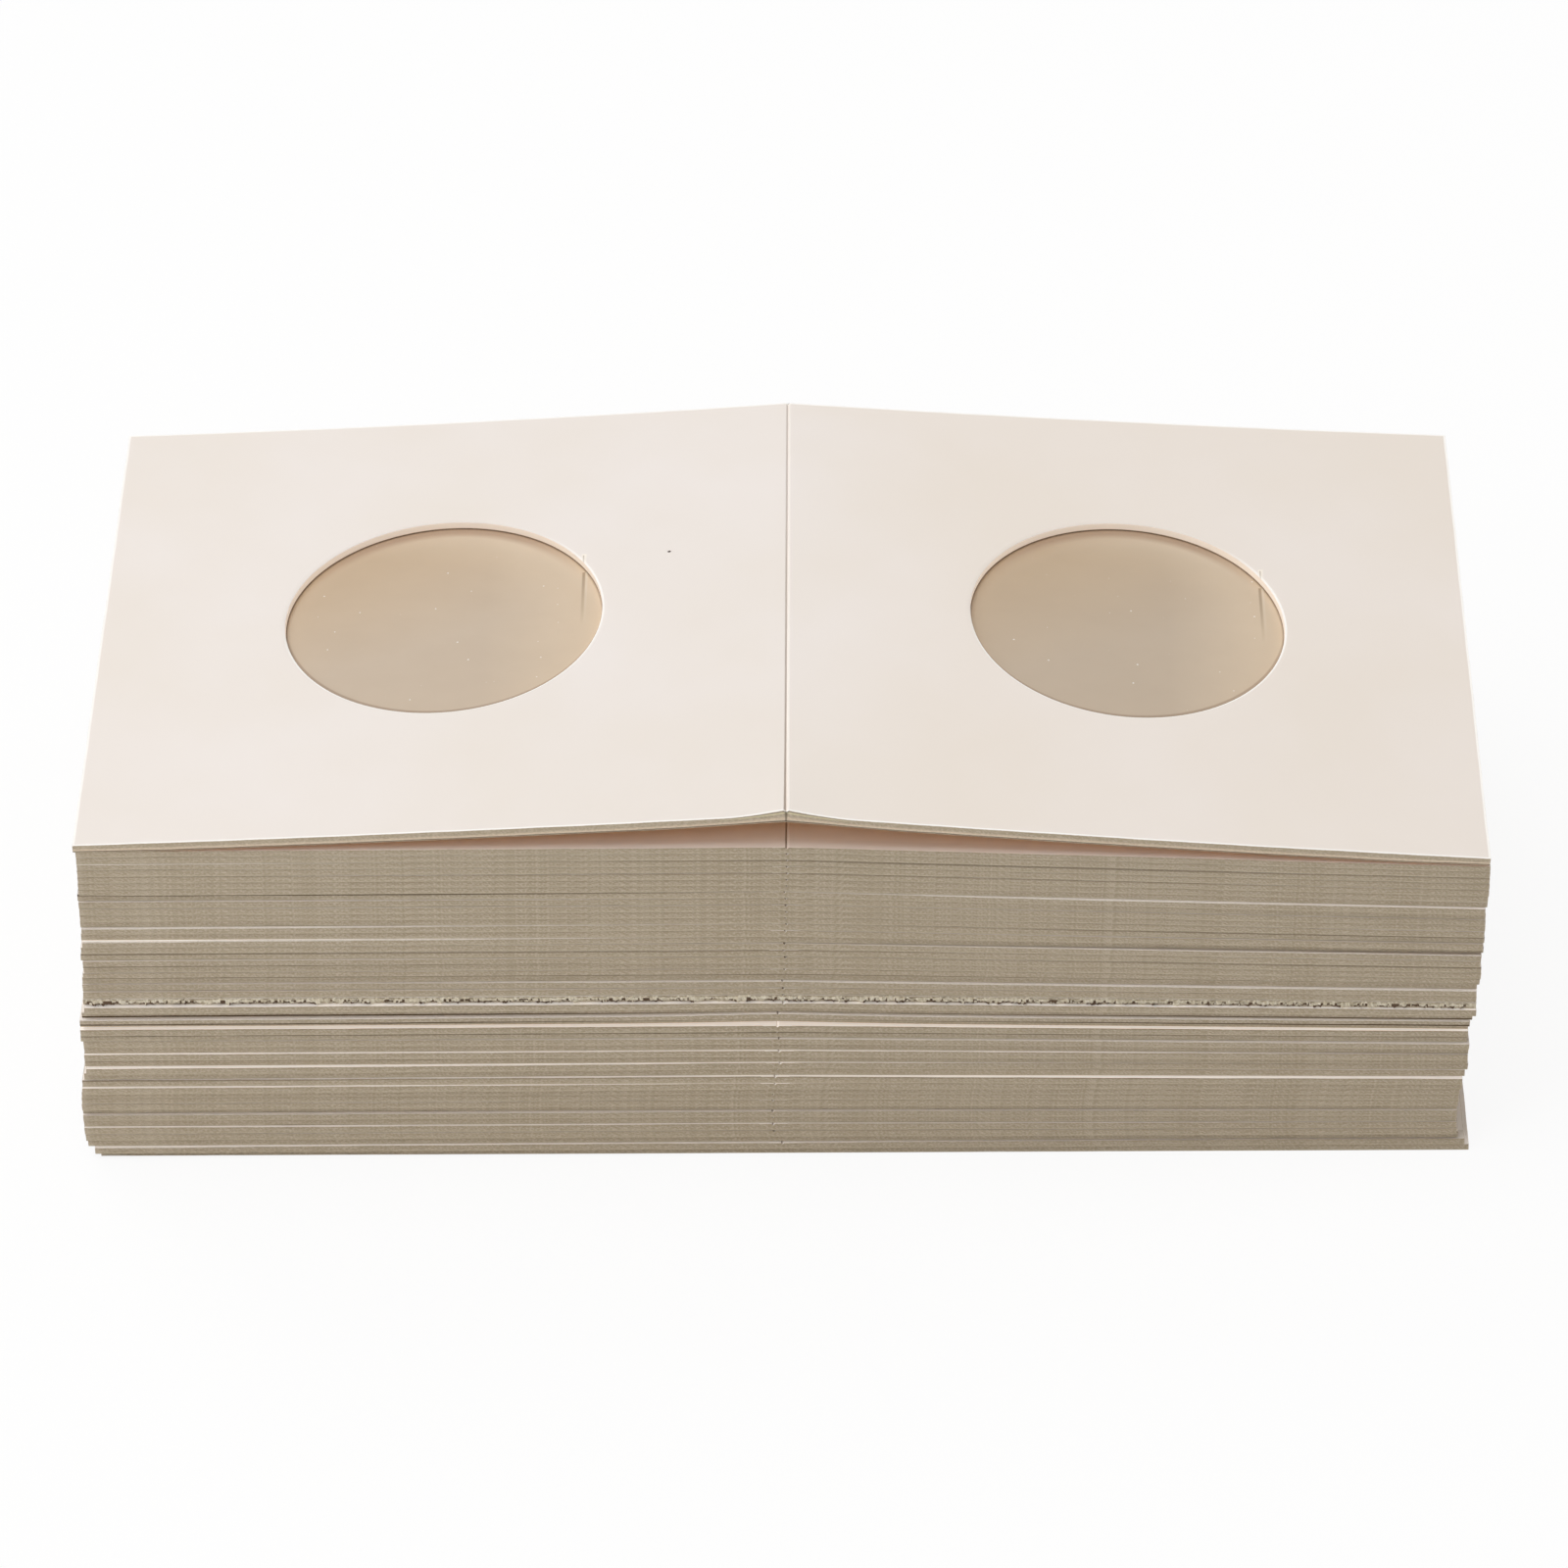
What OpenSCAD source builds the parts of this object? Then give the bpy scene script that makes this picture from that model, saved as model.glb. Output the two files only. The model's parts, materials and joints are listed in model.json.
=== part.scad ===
// Pack of two by two inch cardboard coin holder flips, open, with the top flip standing as a tent.
// Origin: under the crease of the upright pack, midway front to back, on the surface it rests on.
// +X runs along the open flips to the right, +Y to the back, +Z up.

/* [Flip] */
// Length of one leaf, from the crease to its outer end
leaf_l = 50.8; // [40:0.1:70]
// Width of a flip from its front edge to its back edge
flip_w = 50.8; // [40:0.1:70]
// Thickness of the board
card_t = 0.483; // [0.35:0.001:0.6]
// Thickness of the clear film laminated under the board
film_t = 0.04; // [0.02:0.01:0.08]
// Diameter of the coin window in each leaf
window_d = 23.5; // [15:0.5:36]
// Width of the crease score, across the outer face
score_w = 0.25; // [0.2:0.05:0.8]
// Depth of the crease score
score_d = 0.12; // [0.1:0.01:0.28]

/* [Pack] */
// Air between one flip and the next, at their left ends
air_gap = 0.08; // [0.08:0.01:0.2]
// How much less air each flip has at its right end than at its left
squeeze = 0.046; // [0:0.002:0.05]
// Furthest that a flip has slid to the left
side_slip = 1.35; // [0:0.05:2]
// Furthest that the corner of a flip stands in front of the pack's face, or behind it
front_slip = 0.5; // [0:0.05:0.8]

/* [Top flip] */
// Tilt of the left leaf, from its outer end up to the crease, in degrees
left_tilt = 2.6; // [1:0.1:12]
// Air under the outer ends of the two leaves
foot_gap = 0.05; // [0.04:0.01:0.2]
// Air between the two leaves' films when the flip is folded shut
shut_gap = 0.06; // [0.04:0.01:0.2]
// Air between the two leaves along the crease
crease_gap = 0.04; // [0.02:0.01:0.1]

/* [Hidden] */
$fn = 96;
// Flips in each loose bundle, from the bottom one up: the pack parts where its face shows a step
bundle_flips = [13, 8, 4, 10, 7, 7];
bundles = len(bundle_flips);
flips = flips_below(bundles + 1);
flip_t = card_t + film_t;
pitch = flip_t + air_gap;
window_x = leaf_l / 2;
cut = card_t;
pack_top = (flips - 1) * pitch + flip_t;
pack_droop = droop(flips);

card_colour = [0.93, 0.9, 0.87];
film_colour = [0.78, 0.72, 0.64, 0.6];

// Slide to the left of some flips, as shares of side_slip: the flips between them follow a line
slide_shares = [
    [1, 0.2], [2, 0.55], [3, 0.9], [5, 1], [9, 1], [12, 0.9], [15, 0.65], [19, 0.55], [20, 0.7],
    [23, 0.65], [25, 0.35], [29, 0.3], [31, 0.15], [33, 0.25], [36, 0.1], [41, 0.1], [45, 0]
];
// How far the left and the right front corner of some flips stand forward, as shares of front_slip
step_shares = [
    [1, -0.7, -0.3], [2, 0.2, -0.3], [3, -0.2, -0.6], [5, -0.1, -0.2], [6, -0.5, -0.4],
    [7, -0.3, -0.3], [8, -0.7, -0.6], [12, 0.7, 0.1], [13, 0.2, 0.4], [14, 0, -0.3],
    [15, 0.5, -0.5], [16, -0.2, -0.4], [17, 0.1, 0.1], [18, -0.3, -0.2], [19, -0.1, 0.2],
    [20, -0.2, -0.2], [21, 0.1, 0], [22, -0.7, -0.6], [23, 0.6, 0.2], [24, 0.1, 0],
    [25, 0.8, 0.5], [26, 0, 0], [28, -0.3, 0], [29, -0.5, -0.4], [32, 0.3, 0], [35, 0.1, -0.6],
    [36, -0.3, 0.2], [37, 0, -0.2], [38, -0.3, 0], [39, 0, -0.1], [41, -0.1, -0.1],
    [42, -0.5, 0.3], [43, -0.1, -0.2], [47, 0, 0], [49, 0, 0]
];
// Stray of every other corner, as a share of front_slip
stray_share = 0.06;
// Turns of the angle that spreads the stray, so that it doesn't repeat
stray_turn = 137;

// How many flips lie below bundle b
function flips_below(b) = b <= 1 ? 0 : bundle_flips[b - 2] + flips_below(b - 1);

// Tilt of the right leaf of flip k, which lies lower than its left leaf by what the pack is squeezed
function droop(k) = asin((k - 1) * squeeze / leaf_l);

// Point p of a flip's section, turned down by angle a about the crease
function turned(p, a) = [p.x * cos(a) + p.y * sin(a), p.y * cos(a) - p.x * sin(a)];

// Where the two leaves' planes at height h meet, over the crease
function mitre(h, a) = [h * tan(a / 2), h];

// Slide of flip k to the right
function slide(k) = -side_slip * lookup(k, slide_shares);

// How far corner c of flip k stands forward: 1 is the left corner and 2 the right one
function stands_forward(k, c) =
    let (row = [for (r = step_shares) if (r[0] == k) r])
    front_slip * (len(row) > 0 ? row[0][c] : stray_share * sin(k * c * stray_turn));

// Turn of flip k about the vertical
function yaw(k) = asin((stands_forward(k, 1) - stands_forward(k, 2)) / (2 * leaf_l));

// The top flip's pivot: the line that its two leaves turn about, just under the films
pivot_z = pack_top + foot_gap + leaf_l * sin(left_tilt) - shut_gap / 2 * cos(left_tilt);
pivot_above_pack = (pivot_z - pack_top) * cos(pack_droop);
right_tilt = pack_droop + asin((pivot_above_pack + shut_gap / 2 - foot_gap) / leaf_l);

function card_name(k) = str("flip_", k < 10 ? "0" : "", k, "_card");
function films_name(b) = str("bundle_", b, "_films");

// A section in X and Z, drawn out over the width of a flip
module across_width(points) {
    translate([0, flip_w / 2, 0]) rotate([90, 0, 0]) linear_extrude(flip_w) polygon(points);
}

// The hole that the coin shows through, in the leaf on one side: -1 is left and 1 is right
module window(side, base) {
    translate([side * window_x, 0, base - cut]) cylinder(d = window_d, h = card_t + 2 * cut);
}

// The board of an open flip: two leaves, scored on the outer face, with a window in each
module open_card(a) {
    difference() {
        across_width([
            [-leaf_l, film_t], [-leaf_l, flip_t], [-score_w / 2, flip_t],
            mitre(flip_t - score_d, a),
            turned([score_w / 2, flip_t], a), turned([leaf_l, flip_t], a), turned([leaf_l, film_t], a),
            mitre(film_t, a)
        ]);
        window(-1, film_t);
        rotate([0, a, 0]) window(1, film_t);
    }
}

// The film of an open flip: one sheet under both leaves, which closes the windows
module open_film(a) {
    across_width([
        [-leaf_l, 0], [-leaf_l, film_t], mitre(film_t, a),
        turned([leaf_l, film_t], a), turned([leaf_l, 0], a), [0, 0]
    ]);
}

// Puts what follows where flip k lies in the pack
module in_pack(k) {
    forward = (stands_forward(k, 1) + stands_forward(k, 2)) / 2;
    translate([slide(k), -forward, (k - 1) * pitch]) rotate([0, 0, yaw(k)]) children();
}

module lower_card(k) {
    color(card_colour) in_pack(k) open_card(droop(k));
}

module bundle_films(b) {
    color(film_colour)
        for (k = [flips_below(b) + 1:flips_below(b + 1)]) in_pack(k) open_film(droop(k));
}

// Puts what follows on the pivot of the top flip, turned to its tilt
module on_pivot(side) {
    tilt = side < 0 ? -left_tilt : right_tilt;
    translate([0, 0, pivot_z]) rotate([0, tilt, 0]) translate([0, 0, shut_gap / 2]) children();
}

// One leaf of the top flip's board, which ends at the crease in half of the score
module leaf_card(side) {
    inner = side * crease_gap / 2;
    difference() {
        across_width([
            [inner, film_t], [inner, flip_t - score_d], [side * score_w / 2, flip_t],
            [side * leaf_l, flip_t], [side * leaf_l, film_t]
        ]);
        window(side, film_t);
    }
}

// One leaf of the top flip's film
module leaf_film(side) {
    inner = side * crease_gap / 2;
    across_width([[inner, 0], [inner, film_t], [side * leaf_l, film_t], [side * leaf_l, 0]]);
}

module top_left_card() {
    color(card_colour) on_pivot(-1) leaf_card(-1);
}

module top_left_film() {
    color(film_colour) on_pivot(-1) leaf_film(-1);
}

module top_right_card() {
    color(card_colour) on_pivot(1) leaf_card(1);
}

module top_right_film() {
    color(film_colour) on_pivot(1) leaf_film(1);
}

for (k = [1:flips]) lower_card(k);
for (b = [1:bundles]) bundle_films(b);
top_left_card();
top_left_film();
top_right_card();
top_right_film();
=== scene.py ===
"""Looks of a pack of open coin holder flips, with the top flip standing on it like a low tent.

Lengths are in metres, except where a name ends in _mm. X runs along the open flips to the right, Y to the back
and Z up. A flat board or film is modelled with x from its crease, y from its middle line and z from the board's
film side, and is then laid on the leaves that the frame gives.
"""

import json
import logging
import math
from dataclasses import dataclass, field
from enum import Enum
from functools import cached_property
from typing import Any

import bmesh
import bpy
import numpy as np
from bmesh.types import BMEdge, BMesh, BMVert
from bpy.types import Material, Mesh, NodeSocket as Socket, Object
from mathutils import Matrix, Vector, noise


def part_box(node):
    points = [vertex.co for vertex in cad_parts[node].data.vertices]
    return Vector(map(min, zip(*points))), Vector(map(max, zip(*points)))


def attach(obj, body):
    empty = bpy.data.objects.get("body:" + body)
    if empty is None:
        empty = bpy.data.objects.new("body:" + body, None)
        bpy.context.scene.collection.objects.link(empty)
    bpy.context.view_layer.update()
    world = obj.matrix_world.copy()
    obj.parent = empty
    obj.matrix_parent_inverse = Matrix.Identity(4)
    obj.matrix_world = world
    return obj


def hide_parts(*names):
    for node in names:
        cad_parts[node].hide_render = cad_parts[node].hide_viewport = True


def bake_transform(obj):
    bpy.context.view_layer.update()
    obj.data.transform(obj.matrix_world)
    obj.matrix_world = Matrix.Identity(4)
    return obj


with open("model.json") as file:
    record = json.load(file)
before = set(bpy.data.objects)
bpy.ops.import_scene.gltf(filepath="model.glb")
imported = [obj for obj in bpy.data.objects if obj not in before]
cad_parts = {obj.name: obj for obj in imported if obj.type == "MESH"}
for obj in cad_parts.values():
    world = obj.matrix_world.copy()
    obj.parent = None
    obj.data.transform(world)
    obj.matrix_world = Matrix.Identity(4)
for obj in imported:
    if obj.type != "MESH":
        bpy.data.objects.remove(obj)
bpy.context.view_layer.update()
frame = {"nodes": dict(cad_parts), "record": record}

MM = 0.001
LEAF_MM = 50.8
WINDOW_R_MM = 11.75
PUNCHED_BACK_MM = 0.3
UV_NAME = "flat_mm"
# names of the marks that carry painted light and painted shade on the boards' edges and strips
LIGHT_MARK, DARK_MARK, FOOT_MARK, GLOW_MARK = "painted_light_seam", "painted_shade_seam", "painted_shade_foot", "strip_painted_glow"
FACE_SLOT, EDGE_SLOT, BACK_SLOT, WALL_SLOT = range(4)
TINY = 1e-7

log = logging.getLogger("flips")


class Side(Enum):
    """The two leaves of an open flip."""

    LEFT = -1
    RIGHT = 1


def shade(code: str) -> tuple[float, float, float, float]:
    """Turns a colour written as six hex digits into the linear values that a shader takes.

    Args:
        code: Red, green and blue as the eye sees them, such as "EEE6E0".

    Returns:
        The linear colour with full cover.
    """
    levels = [int(code[n : n + 2], 16) / 255 for n in (0, 2, 4)]
    linear = [v / 12.92 if v <= 0.04045 else ((v + 0.055) / 1.055) ** 2.4 for v in levels]
    return (*linear, 1.0)


# Materials


class Shader:
    """The node tree of one material, built by short calls."""

    COLOUR_A = 6
    COLOUR_B = 7
    COLOUR_OUT = 2
    SKEW = (0.5, 0.3, 0.8)

    def __init__(self, name: str) -> None:
        """Starts a material that has a plain Principled surface.

        Args:
            name: The material's name.
        """
        self.material = bpy.data.materials.new(name)
        self.material.use_nodes = True
        self.tree = self.material.node_tree
        self.surface = self.tree.nodes["Principled BSDF"]

    def feed(self, socket: Socket, value: Any) -> None:
        """Gives a socket a fixed value, or joins it to another node's output.

        Args:
            socket: The input to set.
            value: A number, a colour, a vector or an output socket.
        """
        if isinstance(value, Socket):
            self.tree.links.new(value, socket)
        else:
            socket.default_value = value

    def add(self, kind: str, inputs: dict[str | int, Any], out: str | int = 0, **settings: Any) -> Socket:
        """Adds a node.

        Args:
            kind: The node's type without its ShaderNode prefix.
            inputs: What each input gets, by its name or number.
            out: Which output is wanted.
            **settings: The node's own properties.

        Returns:
            The wanted output.
        """
        node = self.tree.nodes.new("ShaderNode" + kind)
        for name, value in settings.items():
            setattr(node, name, value)
        for key, value in inputs.items():
            self.feed(node.inputs[key], value)
        return node.outputs[out]

    def calculate(self, operation: str, first: Any, second: Any = 0.0) -> Socket:
        """Adds one step of arithmetic, such as MAXIMUM."""
        return self.add("Math", {0: first, 1: second}, operation=operation)

    def times(self, first: Any, second: Any) -> Socket:
        """Multiplies two values."""
        return self.calculate("MULTIPLY", first, second)

    def plus(self, first: Any, second: Any) -> Socket:
        """Adds two values."""
        return self.calculate("ADD", first, second)

    def minus(self, first: Any, second: Any) -> Socket:
        """Takes the second value from the first."""
        return self.calculate("SUBTRACT", first, second)

    def off(self, place: Any, at: float = 0.0) -> Socket:
        """How far a place lies from another along one axis."""
        return self.calculate("ABSOLUTE", self.minus(place, at))

    def axis(self, place: Any, name: str) -> Socket:
        """One coordinate of a place."""
        return self.add("SeparateXYZ", {0: place}, name)

    def distance(self, place: Any, other: Any = (0.0, 0.0, 0.0)) -> Socket:
        """How far a place lies from another."""
        return self.add("VectorMath", {0: place, 1: other}, "Value", operation="DISTANCE")

    def span(self, value: Any, low: float, high: float, bottom: float = 0.0, top: float = 1.0) -> Socket:
        """Maps the stretch from low to high onto bottom to top, and holds it there beyond both ends."""
        limits = {"From Min": low, "From Max": high, "To Min": bottom, "To Max": top}
        return self.add("MapRange", {"Value": value, **limits})

    def paint(self, under: Any, cover: Any, tone: str) -> Socket:
        """Lays a tone over a colour, as far as its cover goes."""
        inputs = {0: cover, self.COLOUR_A: under, self.COLOUR_B: shade(tone)}
        return self.add("Mix", inputs, self.COLOUR_OUT, data_type="RGBA")

    @cached_property
    def flat(self) -> Socket:
        """The place on the flat sheet in millimetres, or along a cut edge and up through it in flips."""
        return self.add("UVMap", {}, uv_map=UV_NAME)

    @cached_property
    def x(self) -> Socket:
        """How far to the right on the flat sheet a place is, or how far along a cut edge."""
        return self.axis(self.flat, "X")

    @cached_property
    def y(self) -> Socket:
        """How far to the back on the flat sheet a place is, or its flip's number and how far up through it."""
        return self.axis(self.flat, "Y")

    @cached_property
    def right(self) -> Socket:
        """How far to the right of its window's middle a place is."""
        return self.minus(self.x, self.times(self.calculate("SIGN", self.x), LEAF_MM / 2))

    @cached_property
    def back(self) -> Socket:
        """How far behind its window's middle a place is."""
        return self.minus(self.y, PUNCHED_BACK_MM)

    @cached_property
    def away(self) -> Socket:
        """How far from its window's middle a place is."""
        return self.distance(self.add("CombineXYZ", {0: self.right, 1: self.back}))

    def line(self, place: Any, at: float, half: float, solid: float, cover: float = 1.0) -> Socket:
        """Draws a line with soft sides, half as wide as given and at its full cover over a solid share of that."""
        return self.span(self.off(place, at), half * solid, half, cover, 0.0)

    def stroke(self, at: float, half: float, ends: tuple[float, float]) -> Socket:
        """Draws a line in the windows that runs to the back and fades towards the front.

        Args:
            at: How far to the right of the window's middle the line is.
            half: Half of the line's width.
            ends: Where the line ends at the front and at the back.

        Returns:
            The line's strength, from 0 to 1.
        """
        along = self.times(self.span(self.back, *ends), self.calculate("LESS_THAN", self.back, ends[1]))
        return self.times(self.line(self.right, at, half, 0.4), along)

    def mark(self, name: str) -> Socket:
        """Reads a number that the mesh carries at each of its points, or 0 where it has none."""
        return self.add("Attribute", {}, "Fac", attribute_name=name)

    def noise(self, place: Any, scale: tuple[float, float, float], detail: float) -> Socket:
        """Adds a noise that runs from 0 to 1, turned askew so that its lattice doesn't show as a weave.

        Args:
            place: Where the surface point is, as a vector output.
            scale: How many times the noise turns over for each unit of the place, along each axis.
            detail: How many finer layers it has.

        Returns:
            The noise's value.
        """
        askew = {"Rotation": self.SKEW, "Location": self.SKEW}
        stretched = self.add("Mapping", {"Vector": place, "Scale": scale, **askew})
        return self.add("TexNoise", {"Vector": stretched, "Scale": 1.0, "Detail": detail})

    def strewn(self, across: float, up: float, channel: str, space: str) -> tuple[Socket, Socket]:
        """Strews one grain in each cell of a loose net over the flat sheet.

        Args:
            across: How many cells there are to each unit along the sheet's first axis.
            up: How many there are along its second axis.
            channel: Which colour of the cells gives each grain its number.
            space: How many dimensions the net has, as 2D or 3D.

        Returns:
            How far the nearest grain is, in cells, and its own number, from 0 to 1.
        """
        cells = self.add("Mapping", {"Vector": self.flat, "Scale": (across, up, 1)})
        net = {"Vector": cells, "Scale": 1.0}
        near = self.add("TexVoronoi", net, "Distance", voronoi_dimensions=space)
        tone = self.add("TexVoronoi", net, "Color", voronoi_dimensions=space)
        return near, self.add("SeparateColor", {0: tone}, channel)

    def finish(self, colour: Any, roughness: Any, gloss: float) -> Material:
        """Feeds the surface.

        Args:
            colour: The base colour.
            roughness: How rough it is.
            gloss: The level of its specular reflection.

        Returns:
            The material.
        """
        self.feed(self.surface.inputs["Base Color"], colour)
        self.feed(self.surface.inputs["Roughness"], roughness)
        self.surface.inputs["Specular IOR Level"].default_value = gloss
        return self.material

    def bump(self, height: Any, distance: float, strength: float = 1.0) -> None:
        """Lets a height from 0 to 1 raise the surface by up to a distance."""
        inputs = {"Height": height, "Distance": distance, "Strength": strength}
        self.feed(self.surface.inputs["Normal"], self.add("Bump", inputs))


@dataclass(frozen=True)
class ClayCoat:
    """The white clay coating of the board: matt, faintly clouded, with the grain of the sheet under it.

    A speck, a nick in the windows' rim with its painted highlight, painted highlights on the lips, the crease's
    painted shade and highlight, painted shade on the right leaf, a painted glow, and the strip that shows in front
    of the flip above, with its painted glow or shade, are added where they have a size, a colour or a cover.
    """

    name: str
    colour: str = "EFE7E1"
    clouds: str = "ECE3DA"
    cloud_mm: float = 18.0
    grain_mm: float = 0.35
    roughness: float = 0.62
    gloss: float = 0.3
    relief: float = 0.004 * MM
    # colour and strength of the coat's painted glow, an emission that stands in for light coming through the paper
    painted_glow_colour: str = "FFBE78"
    painted_glow: float = 0.0
    # painted shade on the right leaf, which faces away from the light: its colour, its strength, and how far from
    # the crease it reaches full strength
    right_shade_colour: str = "E2D2BE"
    right_painted_shade: float = 0.0
    right_mm: float = 12.0
    speck_mm: tuple[float, float] | None = None
    speck_r_mm: float = 0.14
    speck_colour: str = "4A3A2C"
    nick_mm: tuple[float, float, float] | None = None
    # the nick's painted highlight, and its dark cut: their half widths and colours
    nick_highlight_mm: float = 0.24
    nick_cut_mm: float = 0.08
    nick_highlight_colour: str = "FFF6E8"
    nick_cut_colour: str = "9C8A72"
    # colour and width of the painted highlight on the lips
    lip: str | None = None
    lip_highlight_mm: float = 0.15
    # the strip in front of the flip above: its width, its painted glow, and the colour of its painted shade
    strip_mm: float = 0.0
    strip_painted_glow: float = 0.07
    strip_painted_shade: str = "A3947D"
    # painted shade and painted highlight of the crease's groove: each line's cover, and its place, half width and
    # colour
    crease_cover: tuple[float, float] = (0.0, 0.0)
    crease_lines: tuple[tuple[float, float, str], ...] = ((-0.06, 0.06, "7E6650"), (0.1, 0.09, "FFF8F0"))
    crease_back_share: float = 0.35

    def material(self) -> Material:
        """Makes the coating, with its speck, its nick with a painted highlight, and the painted highlights on its
        lips where it has them.

        Returns:
            The material.
        """
        shader = Shader(self.name)
        sizes = (self.cloud_mm, self.grain_mm)
        cloud, grain = (shader.noise(shader.flat, (1 / size, 1 / size, 1), 3.0) for size in sizes)
        colour = shader.paint(shade(self.colour), shader.span(cloud, 0.35, 0.65), self.clouds)
        if self.speck_mm:
            colour = shader.paint(colour, self._speck(shader, grain), self.speck_colour)
        # Painted shade: the right leaf turns darker and yellower, as it faces away from the light.
        right_shading = shader.span(shader.x, 0.0, self.right_mm, 0.0, self.right_painted_shade)
        colour = shader.paint(colour, right_shading, self.right_shade_colour)
        colour = self._crease(shader, colour)
        # Painted highlight on the lips, strongest round the windows' front.
        if self.lip:
            colour = shader.paint(colour, self._lip_highlights(shader), self.lip)
        if self.nick_mm:
            colour = self._nick(shader, colour)
        # Painted glow: the emission stands in for light that comes through the paper.
        shader.surface.inputs["Emission Color"].default_value = shade(self.painted_glow_colour)
        shader.surface.inputs["Emission Strength"].default_value = self.painted_glow
        if self.strip_mm:
            colour = self._strip_light_and_shade(shader, colour)
        shader.bump(grain, self.relief)
        return shader.finish(colour, self.roughness, self.gloss)

    def _speck(self, shader: Shader, grain: Any) -> Socket:
        """Finds the speck, whose outline is ragged.

        Args:
            shader: The coat's material.
            grain: The noise that frays the outline.

        Returns:
            The speck's cover.
        """
        away = shader.distance(shader.flat, (*self.speck_mm, 0.0))
        ragged = shader.plus(away, shader.span(grain, 0.3, 0.7, -0.04, 0.04))
        return shader.span(ragged, self.speck_r_mm * 0.6, self.speck_r_mm, 1.0, 0.0)

    def _crease(self, shader: Shader, colour: Any) -> Socket:
        """Draws the painted shade and painted highlight of the crease's groove, which fade towards the back.

        Args:
            shader: The coat's material.
            colour: What they are drawn on.

        Returns:
            The colour with the lines.
        """
        back_fade = shader.span(shader.y, -LEAF_MM / 2, LEAF_MM / 2, 1.0, self.crease_back_share)
        for (at, half, tone), cover in zip(self.crease_lines, self.crease_cover):
            line = shader.line(shader.x, at, half, 0.6, cover)
            colour = shader.paint(colour, shader.times(line, back_fade), tone)
        return colour

    def _lip_highlights(self, shader: Shader) -> Socket:
        """Finds where the lips, which the die pressed up, get a painted highlight: along the outline, and round the
        windows' front.

        Args:
            shader: The coat's material.

        Returns:
            The painted highlight's cover.
        """
        inner, outer = self.lip_highlight_mm * 0.8, self.lip_highlight_mm * 1.2
        ring = shader.span(shader.away, WINDOW_R_MM + inner, WINDOW_R_MM + outer, 1.0, 0.0)
        front = shader.span(shader.minus(shader.right, shader.times(shader.back, 2.0)), -12.0, 0.0)
        lips = shader.times(ring, front)
        for place, reach in ((shader.x, LEAF_MM), (shader.y, LEAF_MM / 2)):
            lips = shader.calculate("MAXIMUM", lips, shader.span(shader.off(place), reach - outer, reach - inner))
        return lips

    def _nick(self, shader: Shader, colour: Any) -> Socket:
        """Draws the nick in the windows' rim: a dark cut within a painted highlight.

        Args:
            shader: The coat's material.
            colour: What it is drawn on.

        Returns:
            The colour with the nick.
        """
        at, low, high = self.nick_mm
        painted_highlight = shader.stroke(at + 0.04, self.nick_highlight_mm, (2 * low - high, high))
        cut = shader.stroke(at, self.nick_cut_mm, (2 * low - high, high - 0.15))
        # Painted highlight round the nick's cut.
        colour = shader.paint(colour, shader.times(painted_highlight, 0.8), self.nick_highlight_colour)
        return shader.paint(colour, shader.times(cut, 0.55), self.nick_cut_colour)

    def _strip_light_and_shade(self, shader: Shader, colour: Any) -> Socket:
        """Paints shade on the strip along the front that shows where the flip above lies further back, or makes it
        glow as painted light.

        Args:
            shader: The coat's material.
            colour: The coat's colour.

        Returns:
            The colour with the strip.
        """
        strip = shader.calculate("LESS_THAN", shader.y, self.strip_mm - LEAF_MM / 2)
        mark = shader.mark(GLOW_MARK)
        # Painted light: the strip glows, and a negative mark gives it painted shade instead.
        glow = shader.calculate("MAXIMUM", shader.plus(mark, self.strip_painted_glow), 0.0)
        shader.feed(shader.surface.inputs["Emission Strength"], shader.times(strip, glow))
        dim = shader.span(mark, -1.0, 0.0, 1.0, 0.0)
        return shader.paint(colour, shader.times(strip, dim), self.strip_painted_shade)


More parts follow.
